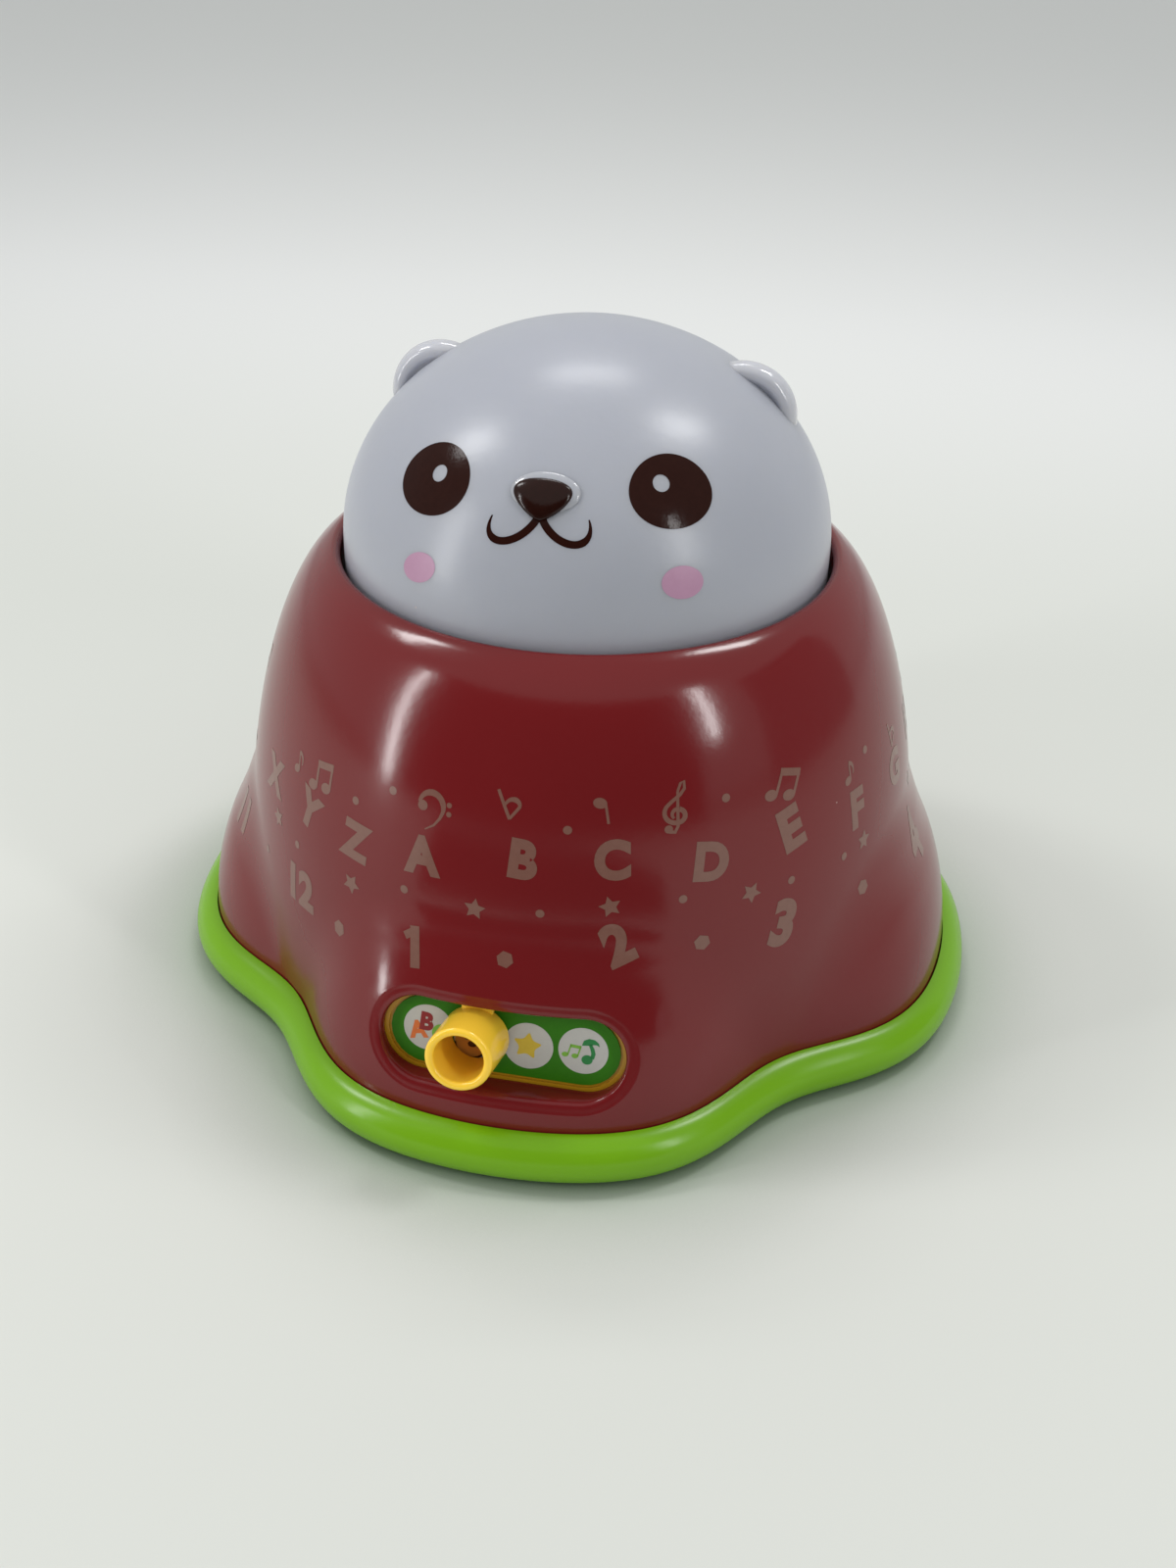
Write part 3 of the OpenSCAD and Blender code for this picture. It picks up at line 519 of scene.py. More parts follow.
def plate_point(x, y, z):
    return Vector((
        x,
        PLATE_Y + y * math.sin(SLOT_LEAN) - z * math.cos(SLOT_LEAN),
        SLOT_Z + y * math.cos(SLOT_LEAN) + z * math.sin(SLOT_LEAN),
    ))


FIRST_GUESS = 7.0
GUESSES = 12
GUESS_PACE = 0.9


def wall_height(x, y):
    """How far the body's surface stands before the mode plate."""
    z = FIRST_GUESS
    for _ in range(GUESSES):
        p = plate_point(x, y, z)
        a = math.atan2(p.y, p.x)
        z += GUESS_PACE * (cone_r(p.z) + swell(a, p.z) - math.hypot(p.x, p.y))
    return z


def stadium(w, h):
    """Outline with round ends: four stretches of the same count of points."""
    half = (w - h) / 2
    points = [(x, h / 2) for x in even_steps(half, -half, SIDE_STEPS)[:-1]]
    points += arc((-half, 0), h / 2, 90, 270, SIDE_STEPS)[:-1]
    points += [(x, -h / 2) for x in even_steps(-half, half, SIDE_STEPS)[:-1]]
    points += arc((half, 0), h / 2, -90, 90, SIDE_STEPS)[:-1]
    return points


def loft(rings, closed=False):
    """A skin through rings of points, made by extruding the first ring again and again."""
    bm = bmesh.new()
    verts = [bm.verts.new(p) for p in rings[0]]
    edges = [bm.edges.new((verts[i - 1], verts[i])) for i in range(len(verts))]
    first_edges = edges
    for ring in rings[1:]:
        made = bmesh.ops.extrude_edge_only(bm, edges=edges)["geom"]
        fresh = {tuple(g.co): g for g in made if isinstance(g, bmesh.types.BMVert)}
        verts = [fresh[tuple(v.co)] for v in verts]
        edges = [bm.edges.get((verts[i - 1], verts[i])) for i in range(len(verts))]
        for vert, p in zip(verts, ring):
            vert.co = p
    if closed:
        bmesh.ops.bridge_loops(bm, edges=edges + first_edges)
    else:
        bmesh.ops.edgeloop_fill(bm, edges=edges)
        bmesh.ops.edgeloop_fill(bm, edges=first_edges)
    close(bm)
    return bm


def slot_ring(grow, off, on_wall):
    """The slot's outline, grown all round, at a height off the wall or off the mode plate."""
    ring = []
    for x, y in stadium(SLOT_W + grow, SLOT_H + grow):
        z = wall_height(x, y) + off if on_wall else off
        ring.append(plate_point(x, y, z))
    return ring


print("wall stands", round(wall_height(0, 0), 1), "mm before the plate")

# %% [markdown]
# ## The red body
# The wall is one closed outline, spun round the axis as a plain cone and then pushed out by the lobe
# formula. At its top a small roll leads into the bore that holds the head.

# %% Body wall
LIP_EDGE = 1.3
COLLAR_Z = 84.3
COLLAR_H = 2.0
WALL_RINGS = 96
INSIDE_RINGS = 36
WALL_STEPS = 288
BORE_MARGIN = 0.1

outside = [(cone_r(z), z) for z in even_steps(LEDGE_Z, BODY_TOP - LIP_EDGE, WALL_RINGS)]
lip = arc((LIP_R + LIP_EDGE, BODY_TOP - LIP_EDGE), LIP_EDGE, 70, 180, 7)
collar = [(LIP_R, COLLAR_Z), (LIP_R + BODY_WALL, COLLAR_Z)]
inside = []
for z in even_steps(COLLAR_Z - COLLAR_H, LEDGE_Z, INSIDE_RINGS):
    inside.append((max(cone_r(z + 1) - BODY_WALL, LIP_R + BODY_WALL), z))
wall = revolve(outside + lip + collar + inside, WALL_STEPS)
for v in wall.verts:
    r = math.hypot(v.co.x, v.co.y)
    if r > LIP_R + BORE_MARGIN:
        grown = (r + swell(math.atan2(v.co.y, v.co.x), v.co.z)) / r
        v.co.x *= grown
        v.co.y *= grown
body_shell = piece("red_body", wall, red_plastic, "base", ["body_shell"])

# %% [markdown]
# ## Cutting the slot
# A moulding tool forms the slot with the wall. Here a boolean cuts it out of the finished wall, because
# the cut edge runs across the lobe's curve and follows none of the wall's own rows of faces.


# %% Slot opening
def cut(obj, bm):
    """Cuts a closed bmesh in millimetres out of a piece."""
    bmesh.ops.scale(bm, vec=(MM, MM, MM), verts=bm.verts)
    cutter = bpy.data.objects.new("cutter", to_mesh(bm, "cutter"))
    bpy.context.scene.collection.objects.link(cutter)
    modifier = obj.modifiers.new("cut", "BOOLEAN")
    modifier.object = cutter
    modifier.operation = "DIFFERENCE"
    modifier.solver = "EXACT"
    shown = obj.evaluated_get(bpy.context.evaluated_depsgraph_get())
    result = bpy.data.meshes.new_from_object(shown)
    obj.modifiers.clear()
    old = obj.data
    result.name = old.name
    obj.data = result
    bpy.data.objects.remove(cutter)
    bpy.data.meshes.remove(old)
    print(obj.name, "after the cut:", len(result.polygons), "faces")


CUT_GROW = 2 * SLOT_BEVEL - 0.1
CUT_BACK = -1.0
CUT_FRONT = 20.0
cut(body_shell, loft([slot_ring(CUT_GROW, height, False) for height in (CUT_BACK, CUT_FRONT)]))

# %% [markdown]
# ## The slot's edge
# On the moulding the wall rolls over a fine edge, slopes inwards and ends in a short tunnel to the mode
# plate. A bevel of the cut edge would break up where the wall curves, so this is a closed ring skin of
# its own, lofted through outlines that follow the wall.

# %% Slot edge
WIDE = 2 * SLOT_BEVEL
TUNNEL_END = 0.85
TUNNEL_WIDE = WIDE - 0.6
BACK_WIDE = WIDE - 0.1
BACK_DEPTH = -1.6
# How far each outline steps in from the widest one, and how deep it lies under the wall's surface
EDGE_STEPS = [
    (0.0, 0.0), (0.15, -0.015), (0.35, -0.07), (0.6, -0.15), (0.9, -0.22), (1.4, -0.32), (1.9, -0.45),
    (2.2, -0.62), (2.45, -0.95), (2.62, -1.45), (2.7, -2.2),
]
edge_rings = [slot_ring(WIDE - 2 * inward, depth, True) for inward, depth in EDGE_STEPS]
edge_rings += [
    slot_ring(0.0, TUNNEL_END, False),
    slot_ring(TUNNEL_WIDE, TUNNEL_END, False),
    slot_ring(BACK_WIDE, BACK_DEPTH, True),
]
slot_edge = piece("slot_edge", loft(edge_rings, closed=True), red_plastic, "base", sharp=55)

# %% [markdown]
# ## Room for the knob's arm
# The knob's arm passes behind the upper side of the slot and moves with the knob. A flat path as long as
# the knob's whole way is cut for it, out of the wall and out of the slot's edge.

# %% Arm path
ROOM_SIDE = 18.1
ROOM_LOW = 5.4
ROOM_TOP = 11.18
ROOM_FRONT = 2.36
ROOM_BACK = -2.0


def arm_room():
    """The path of the knob's arm: a flat box before the mode plate."""
    bm = bmesh.new()
    bmesh.ops.create_cube(bm, size=1.0)
    for v in bm.verts:
        x, y, z = v.co
        level = ROOM_TOP if y > 0 else ROOM_LOW
        depth = ROOM_FRONT if z > 0 else ROOM_BACK
        v.co = plate_point(2 * x * ROOM_SIDE, level, depth)
    bmesh.ops.recalc_face_normals(bm, faces=bm.faces)
    return bm


print("wall before the arm's path:", round(wall_height(ROOM_SIDE, ROOM_TOP) - ROOM_FRONT, 2), "mm")
cut(body_shell, arm_room())
cut(slot_edge, arm_room())

# %% [markdown]
# ## The green base
# The rim is a round bar that follows the lobes, with a narrow gap to the red wall. It is spun as a round
# ring and its points are moved in at the notches. The floor with its screw holes, grille and battery bay
# is right in the CAD solid, so it is a copy of that solid without the faceted rim. The two stay separate
# pieces, because the rim is shaded smooth and the floor flat.

# %% Base rim and floor
RIM_R = box_mm("base_tray")[1].x
RIM_H = 10.6
RIM_STEPS = 360
RIM_GAP = 0.3
RIM_EDGE = 0.15
TONGUE_TOP = 7.6
TONGUE_OUT = LOBE_R - BODY_WALL - RIM_GAP
TONGUE_IN = TONGUE_OUT - 1.6
FLOOR_R = TONGUE_OUT - 3.6
FLOOR_TOP = LEDGE_Z - 0.3
FLOOR_LAP = 0.15


def notch(vert):
    """How far the rim comes in at a point's angle."""
    return NOTCH_DEPTH * (1 - lobe_share(math.atan2(vert.co.y, vert.co.x)))


bar_r = RIM_H / 2
bar = arc((RIM_R - bar_r, bar_r), bar_r, -90, 84, 30)
rim_profile = [(FLOOR_R, 0.0)] + bar + [
    (LOBE_R + RIM_GAP + RIM_EDGE, RIM_H - 0.25),
    (LOBE_R + RIM_GAP, RIM_H - 0.6),
    (LOBE_R + RIM_GAP, LEDGE_Z),
    (TONGUE_OUT, LEDGE_Z),
    (TONGUE_OUT, TONGUE_TOP),
    (TONGUE_IN, TONGUE_TOP),
    (TONGUE_IN, FLOOR_TOP),
    (FLOOR_R, FLOOR_TOP),
]
rim = revolve(rim_profile, RIM_STEPS)
for v in rim.verts:
    r = math.hypot(v.co.x, v.co.y)
    moved = (r - notch(v)) / r
    v.co.x *= moved
    v.co.y *= moved


def beyond_floor(vert):
    return math.hypot(vert.co.x, vert.co.y) > FLOOR_R - notch(vert) - FLOOR_LAP


base_floor = node_copy("base_tray")
old_rim = [face for face in base_floor.faces if all(beyond_floor(v) for v in face.verts)]
bmesh.ops.delete(base_floor, geom=old_rim, context="FACES")
piece("green_base", rim, lime_plastic, "base", ["base_tray"], sharp=32)
piece("green_floor", base_floor, lime_plastic, "base", sharp=4)

# %% [markdown]
# ## The head
# The head is a thin translucent dome. Its outline is a quarter ellipse on a straight skirt, spun round the
# axis with an inner wall, so that light soaks through it as it does through the real one. The ears are thick
# discs with a rolled rim round a shallow dish, half sunk in the dome, and glossier than it. Their plastic is
# the head's, painted lighter as painted light for the bright reflections on them.

# %% Head dome
HEAD_TOP = 135.2
HEAD_Z = 95.0
HEAD_RISE = HEAD_TOP - HEAD_Z
HEAD_WALL = 2.2
HEAD_STEPS = 192
SKIRT_Z = 84.0
EAR_AT = math.radians(46)
EAR_R = 10.2
EAR_SINK = 6.3
EAR_Y = 4.8
EAR_HALF = 2.86
EAR_STEPS = 96
# How far each ear stands off its even place, to the side and upwards
EAR_SHIFTS = {-1: (-0.7, -0.6), 1: (-0.5, 0.1)}
# The front of an ear, from its middle to its edge: a dish, then a rolled rim
EAR_FRONT = [
    (0.0, 1.5), (3.0, 1.5), (5.8, 1.55), (6.5, 1.75), (7.0, 2.15), (7.4, 2.55), (7.8, 2.78), (8.3, 2.86),
    (8.8, 2.78), (9.3, 2.5), (9.7, 2.05), (10.0, 1.4), (10.15, 0.7),
]


def dome_outline(wall, steps):
    return arc((0, HEAD_Z), (HEAD_R - wall, HEAD_RISE - wall), 0, 90, steps)


def on_axis(points):
    """Puts the last point of an outline exactly on the axis."""
    return points[:-1] + [(0.0, points[-1][1])]


outer = on_axis(dome_outline(0, 56))
inner = on_axis(dome_outline(HEAD_WALL, 40))
skirt_in = (HEAD_R - HEAD_WALL, SKIRT_Z)
dome = revolve([(HEAD_R, SKIRT_Z)] + outer + inner[::-1] + [skirt_in], HEAD_STEPS)

upright = Matrix.Rotation(math.radians(90), 3, "X")
slope = math.atan(HEAD_R * math.tan(EAR_AT) / HEAD_RISE)
ear_x = HEAD_R * math.cos(EAR_AT) - EAR_SINK * math.cos(slope)
ear_z = HEAD_Z + HEAD_RISE * math.sin(EAR_AT) - EAR_SINK * math.sin(slope)
ear_behind = [(r, -EAR_HALF * math.sqrt(1 - (r / EAR_R) ** 4)) for r, z in EAR_FRONT[::-1]]
ears = bmesh.new()
for side, (dx, dz) in EAR_SHIFTS.items():
    ear = revolve(EAR_FRONT + [(EAR_R, 0.0)] + ear_behind, EAR_STEPS)
    bmesh.ops.rotate(ear, cent=(0, 0, 0), matrix=upright, verts=ear.verts)
    bmesh.ops.translate(ear, vec=(side * ear_x + dx, EAR_Y, ear_z + dz), verts=ear.verts)
    add_to(ears, ear)
piece("ears", ears, lit_ear_plastic, "head", sharp=60)
piece("milky_head", dome, milk_plastic, "head", ["head_dome"], sharp=60)

# %% [markdown]
# ## The return springs
# The three springs stand on the deck and carry the head. They are a copy of the CAD coils, in a mesh of
# their own.

# %% Return springs
coils = node_copy("return_springs")
springs = piece("coil_springs", coils, steel, "base", ["return_springs"])
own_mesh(springs)

# %% [markdown]
# ## Laying flat shapes on curved surfaces
# Prints are drawn flat, in millimetres, and then bent onto their surface. They could be painted by a
# shader, but thin meshes stay sharp close up. A flat letter has few points, so it is first sliced along a
# fine grid, which lets it follow the curve closely. A place function turns flat u and v and a height into
# a point in the frame.

# %% Places on the surfaces
LABEL_FACE = 0.3
GRID = 1.5
PRINT_LIFT = 0.035


def turner(tilt):
    """A function that turns flat u and v by an angle in degrees."""
    c = math.cos(math.radians(tilt))
    s = math.sin(math.radians(tilt))
    return lambda u, v: (c * u - s * v, s * u + c * v)


def on_body(turn, z, tilt=0.0):
    here = body_point(turn, z)
    steep = (body_point(turn, z + 1) - here).normalized().z
    reach = math.hypot(here.x, here.y)
    turned = turner(tilt)

    def place(u, v, h):
        across, along = turned(u, v)
        t = turn + math.degrees(across / reach)
        y = z + along * steep
        return body_point(t, y) + body_normal(t, y) * h

    return place


def on_head(turn, z, tilt=0.0):
    t0 = math.asin((z - HEAD_Z) / HEAD_RISE)
    reach = HEAD_R * math.cos(t0)
    pace = math.hypot(HEAD_R * math.sin(t0), HEAD_RISE * math.cos(t0))
    turned = turner(tilt)

    def place(u, v, h):
        across, along = turned(u, v)
        a = math.radians(turn) + across / reach
        t = t0 + along / pace
        r = HEAD_R * math.cos(t)
        p = Vector((r * math.sin(a), -r * math.cos(a), HEAD_RISE * math.sin(t)))
        n = Vector((p.x / HEAD_R**2, p.y / HEAD_R**2, p.z / HEAD_RISE**2)).normalized()
        return p + n * h + Vector((0, 0, HEAD_Z))

    return place


def on_label(x, y, tilt=0.0):
    turned = turner(tilt)

    def place(u, v, h):
        across, along = turned(u, v)
        return plate_point(x + across, y + along, LABEL_FACE + h)

    return place


def slice_grid(bm):
    """Cuts a flat shape along the lines of a grid."""
    for aim in (Vector((1, 0, 0)), Vector((0, 1, 0))):
        places = [v.co.dot(aim) for v in bm.verts]
        line = math.floor(min(places) / GRID) * GRID + GRID
        while line < max(places):
            whole = bm.verts[:] + bm.edges[:] + bm.faces[:]
            bmesh.ops.bisect_plane(bm, geom=whole, dist=1e-4, plane_co=aim * line, plane_no=aim)
            line += GRID


def stamp(target, shape, place, lift=PRINT_LIFT):
    """Lays a flat shape on a surface and adds it to a target bmesh."""
    slice_grid(shape)
    for v in shape.verts:
        v.co = place(v.co.x, v.co.y, v.co.z + lift)
    add_to(target, shape)


print("body's front, at the height of the capitals:", [round(c, 1) for c in on_body(0, 60)(0, 0, 0)])

# %% [markdown]
# ## The alphabet of shapes
# Letters and numbers come from Blender's own font, thickened to a bold. The other signs are drawn from
# discs and from ribbons: a ribbon is one short edge that is extruded along a path, with a width at each
# point.

# %% Flat shapes
FONT_SCALE = 1.33


def letters(word, height, thicken=0.072, squeeze=0.93):
    curve = bpy.data.curves.new("word", "FONT")
    curve.body = word
    curve.size = height * FONT_SCALE
    curve.offset = thicken * height
    curve.align_x = "CENTER"
    curve.resolution_u = 6
    holder = bpy.data.objects.new("word", curve)
    mesh = bpy.data.meshes.new_from_object(holder)
    bm = bmesh.new()
    bm.from_mesh(mesh)
    bpy.data.objects.remove(holder)
    bpy.data.curves.remove(curve)
    bpy.data.meshes.remove(mesh)
    bmesh.ops.remove_doubles(bm, verts=bm.verts, dist=1e-4)
    for axis in (Vector((1, 0, 0)), Vector((0, 1, 0))):
        places = [v.co.dot(axis) for v in bm.verts]
        bmesh.ops.translate(bm, vec=axis * (min(places) + max(places)) / -2, verts=bm.verts)
    bmesh.ops.scale(bm, vec=(squeeze, 1, 1), verts=bm.verts)
    return bm


def disc(radius, at=(0, 0), sides=28, squeeze=1.0, tilt=0.0):
    bm = bmesh.new()
    bmesh.ops.create_circle(bm, cap_ends=True, segments=sides, radius=radius)
    bmesh.ops.scale(bm, vec=(1, squeeze, 1), verts=bm.verts)
    turned = Matrix.Rotation(math.radians(tilt), 3, "Z")
    bmesh.ops.rotate(bm, cent=(0, 0, 0), matrix=turned, verts=bm.verts)
    bmesh.ops.translate(bm, vec=(*at, 0), verts=bm.verts)
    return bm


def star(radius, inner=0.5):
    bm = bmesh.new()
    points = bmesh.ops.create_circle(bm, cap_ends=True, segments=10, radius=radius)["verts"]
    bmesh.ops.scale(bm, vec=(inner, inner, 1), verts=points[1::2])
    turn = math.pi / 2 - math.atan2(points[0].co.y, points[0].co.x)
    bmesh.ops.rotate(bm, cent=(0, 0, 0), matrix=Matrix.Rotation(turn, 3, "Z"), verts=bm.verts)
    return bm


def ribbon(path, widths):
    """A strip along a path, with widths at even places along it and blended between them."""
    points = [Vector((*p, 0)) for p in path]
    last = len(points) - 1
    pairs = []
    for i, p in enumerate(points):
        ahead = points[min(i + 1, last)] - points[max(i - 1, 0)]
        aside = Vector((-ahead.y, ahead.x, 0)).normalized()
        at = i / last * (len(widths) - 1)
        k = min(int(at), len(widths) - 2)
        reach = (widths[k] + (widths[k + 1] - widths[k]) * (at - k)) / 2
        pairs.append((p + aside * reach, p - aside * reach))
    bm = bmesh.new()
    ends = [bm.verts.new(p) for p in pairs[0]]
    edge = bm.edges.new(ends)
    for pair in pairs[1:]:
        made = bmesh.ops.extrude_edge_only(bm, edges=[edge])["geom"]
        fresh = [g for g in made if isinstance(g, bmesh.types.BMVert)]
        fresh.sort(key=lambda v: (v.co - ends[0].co).length)
        for vert, p in zip(fresh, pair):
            vert.co = p
        ends = fresh
        edge = bm.edges.get(ends)
    bmesh.ops.recalc_face_normals(bm, faces=bm.faces)
    return bm


def joined(*shapes):
    bm = bmesh.new()
    for shape in shapes:
        add_to(bm, shape)
    return bm


def sized(shape, scale, flip=1):
    """Scales a shape; a flip of -1 turns it upside down."""
    bmesh.ops.scale(shape, vec=(scale, flip * scale, 1), verts=shape.verts)
    bmesh.ops.recalc_face_normals(shape, faces=shape.faces)
    return shape


print("a star has", len(star(1).verts), "points")

# %% [markdown]
# ## Music signs
# The small signs between the letters are single notes, joined notes, flats and clefs. Each is drawn about
# its middle, at about its real size.


# %% Music signs
def single_note():
    stem = ribbon([(1.0, -1.6), (1.0, 2.4)], [0.5, 0.5])
    return joined(disc(1.3, (0, -1.7), squeeze=0.78, tilt=20), stem)


def fallen_note():
    return sized(single_note(), 1.0, flip=-1)


def flag_note():
    line = arc((0.9, 0.7), (1.5, 1.6), 90, 0, 8) + arc((1.5, 0.3), (0.9, 1.2), 0, -50, 4)
    return joined(single_note(), ribbon(line, [1.1, 0.7, 0.25]))


def joined_notes():
    heads = [disc(1.35, (x, y), squeeze=0.78, tilt=20) for x, y in ((-2.2, -2.6), (1.7, -1.8))]
    stems = [ribbon([(x, y), (x, y + 4.9)], [0.6, 0.6]) for x, y in ((-1.15, -2.5), (2.75, -1.7))]
    beam = ribbon([(-1.45, 1.9), (3.05, 2.7)], [1.4, 1.4])
    return joined(*heads, *stems, beam)


def flat_sign():
    stem = ribbon([(-1.3, -2.6), (-1.3, 3.0)], [0.6, 0.6])
    line = [(-1.3, 0.1)] + arc((0.1, -0.5), (1.25, 1.15), 120, -30, 10) + [(-1.3, -2.5)]
    return joined(stem, ribbon(line, [0.5, 1.0, 0.5]))


def bass_clef():
    hook = arc((0, 0.6), (2.0, 2.1), 170, -20, 14)
    tail = [(1.5, -1.0), (0.6, -2.2), (-0.8, -3.1)]
    dots = [disc(0.42, (2.9, y)) for y in (1.3, -0.1)]
    return joined(disc(0.8, (-1.4, 0.5)), ribbon(hook + tail, [0.5, 1.0, 0.9, 0.2]), *dots)


def treble_clef():
    swirl = arc((0.3, -1.2), (0.9, 0.9), 240, 60, 8) + arc((0.3, -1.5), (1.5, 1.3), 75, -90, 8)
    swirl += arc((0.1, -0.9), (2.1, 1.9), -95, -215, 10)
    rise = [(-0.9, 1.0), (0.5, 2.3), (1.2, 3.4), (1.0, 4.7), (0.4, 4.3), (0.0, 2.9)]
    stem = [(0.0, 2.9), (0.3, 0.0), (0.7, -3.4), (0.3, -4.5), (-0.7, -4.4)]
    tail = disc(0.75, (-0.9, -4.0))
    line = ribbon(swirl + rise, [0.5, 0.9, 0.9, 0.8, 0.5])
    return joined(line, ribbon(stem, [0.5, 0.6, 0.6, 0.8]), tail)


print("a treble clef has", len(treble_clef().faces), "faces")

# %% [markdown]
# ## The prints on the body
# Two rows of signs run round the body: capitals higher up and numbers lower down, with stars, dots,
# hexagons and music signs between them. The front was measured from the photograph as an angle and a
# height. The back cannot be seen, so the rows simply go on round it.

# %% Places of the prints
CAPITAL_H = 7.2
NUMBER_H = 7.8
STAR_R = 2.1
DOT_R = 0.8
HEXAGON_R = 1.6
SIGN_SIZE = {"E": 1.15, "3": 1.18, "4": 1.3, "F": 1.06}
# Each sign with its angle from the front, its height and its tilt
CAPITALS = [
    ("X", -51.6, 56.2, 0), ("Y", -38.7, 56.3, -15), ("Z", -27.2, 55.7, -5), ("A", -14.4, 57.9, 4),
    ("B", 2.1, 60.7, -5), ("C", 15.7, 61.3, 0), ("D", 31.4, 59.1, -8), ("E", 46.1, 61.1, 14),
    ("F", 62.1, 58.1, 0), ("G", 77.4, 58.2, 0),
]
NUMBERS = [
    ("11", -68.0, 37.0, 0), ("12", -39.9, 38.8, 0), ("1", -14.6, 40.4, 10), ("2", 16.5, 45.5, 22),
    ("3", 44.0, 42.9, -15), ("4", 82.9, 38.9, 10),
]


def back_row(signs, start, step, level, sway, lean):
    """Signs at even steps round the back; sway and lean are a size and a pace."""
    for k, sign in enumerate(signs):
        z = level + sway[0] * math.cos(sway[1] * k)
        yield sign, start + step * k, z, lean[0] * math.sin(lean[1] * k)


CAPITALS += back_row("HIJKLMNOPQRSTUVW", 91.5, 11.9, 59.0, (1.6, 2.1), (9, 1.7))
NUMBERS += back_row(["5", "6", "7", "8", "9", "10"], 112.8, 29.9, 40.5, (2.0, 1.9), (12, 2.3))

# The signs between them, with their angles and heights; a music sign also has its tilt, shape and scale
STARS = [(-48.6, 48.8), (-27.4, 46.9), (-5.2, 50.1), (15.4, 52.6), (38.0, 51.3), (63.3, 50.8)]
DOTS = [
    (-53.1, 38.6), (-41.5, 47.3), (-28.0, 63.2), (-20.8, 67.8), (-17.1, 50.3), (4.9, 50.9), (8.7, 66.6),
    (26.6, 52.9), (34.3, 70.0), (45.6, 51.1), (66.2, 67.7), (57.6, 50.4),
]
HEXAGONS = [(-29.3, 36.6), (0.0, 41.8), (29.7, 43.6), (62.5, 41.1)]
MUSIC = [
    (-44.1, 63.3, 10, flag_note, 0.8), (-36.7, 64.0, 0, joined_notes, 1.0), (-13.5, 66.5, 2, bass_clef, 1.2),
    (-0.3, 70.4, 24, flat_sign, 1.0), (13.9, 69.8, 8, fallen_note, 0.95), (25.8, 69.8, -8, treble_clef, 1.0),
    (45.4, 69.6, -26, joined_notes, 1.0), (60.1, 65.7, 0, flag_note, 0.8), (77.7, 65.3, 10, flat_sign, 0.95),
]
print("letters and numbers:", len(CAPITALS) + len(NUMBERS))

# %% [markdown]
# ## Printing the body
# The signs between the letters are repeated round the back. There they could fall on a letter, so each is
# tried at its own height and then a little higher, and is left out where no place is clear. All the signs
# become one piece, because they are one ink.

# %% Body prints
MUSIC_HALF = (3.0, 4.4)
LETTER_HALF = (4.4, 4.6)
# How far the signs are turned for each round, and the angle at which a round ends
ROUNDS = [(0, 200), (137, 221), (274, 296)]
BACK_RISES = (0, 2, 4, 6)
MM_PER_DEGREE = 1.2


def is_clear(turn, z, wide, high):
    """Whether a sign of this half width and half height keeps off the letters and numbers."""
    for _, other, level, _ in CAPITALS + NUMBERS:
        beside = abs((turn - other + 180) % 360 - 180) * MM_PER_DEGREE
        if beside < wide + LETTER_HALF[0] and abs(z - level) < high + LETTER_HALF[1]:
            return False
    return True


def spread(signs, wide, high):
    """The measured places, then the same round the back, raised or left out where a letter is near."""
    for shift, limit in ROUNDS:
        for start, z, *rest in signs:
            turn = start + shift
            rises = [0]
            if shift > 0:
                rises = [rise for rise in BACK_RISES if is_clear(turn, z + rise, wide, high)]
            if turn < limit and rises:
                yield (turn, z + rises[0], *rest)


def digit_one():
    """A one with a clear flag, which the font lacks."""
    stem = ribbon([(0.6, -3.9), (0.6, 3.9)], [1.9, 1.9])
    return joined(stem, ribbon([(0.9, 3.2), (-1.5, 1.9)], [1.5, 1.5]))


prints = bmesh.new()
for sign, turn, z, tilt in CAPITALS:
    stamp(prints, letters(sign, CAPITAL_H * SIGN_SIZE.get(sign, 1.0)), on_body(turn, z, tilt))
for sign, turn, z, tilt in NUMBERS:
    drawn = digit_one() if sign == "1" else letters(sign, NUMBER_H * SIGN_SIZE.get(sign, 1.0))
    stamp(prints, drawn, on_body(turn, z, tilt))
for turn, z in spread(STARS, STAR_R, STAR_R):
    stamp(prints, star(STAR_R), on_body(turn, z, turn))
for turn, z in spread(DOTS, DOT_R, DOT_R):
    stamp(prints, disc(DOT_R, sides=14), on_body(turn, z))
for turn, z in spread(HEXAGONS, HEXAGON_R, HEXAGON_R):
    stamp(prints, disc(HEXAGON_R, sides=6), on_body(turn, z, 15))
for turn, z, tilt, shape, scale in spread(MUSIC, *MUSIC_HALF):
    stamp(prints, sized(shape(), scale), on_body(turn, z, tilt))
piece("body_prints", prints, body_ink, "base")

# %% [markdown]
# ## The face
# Eyes and cheeks are printed, so they are thin shapes laid on the dome. Each eye is a dark oval with a
# small round place left bare, which reads as a glint.

# %% Eyes and cheeks
EYE_W = 15.2
EYE_H = 13.4
GLINT_W = 3.1
# Angle and height of each eye, and where its glint lies
EYES = [(-31.5, 116.6, 0.7, 1.1), (32.2, 117.9, -1.6, 1.5)]
# Angle, height, radius, squeeze and tilt of each cheek
CHEEKS = [(-28.5, 102.5, 3.8, 0.7, 22), (31.8, 104.0, 3.9, 0.74, -6)]


def eye_shape(glint_at):
    bm = bmesh.new()
    bmesh.ops.create_circle(bm, segments=64, radius=EYE_W / 2)
    bmesh.ops.scale(bm, vec=(1, EYE_H / EYE_W, 1), verts=bm.verts)
    hole = bmesh.ops.create_circle(bm, segments=28, radius=GLINT_W / 2)["verts"]
    bmesh.ops.translate(bm, vec=(*glint_at, 0), verts=hole)
    bmesh.ops.triangle_fill(bm, use_beauty=True, edges=bm.edges[:], normal=(0, 0, 1))
    return bm


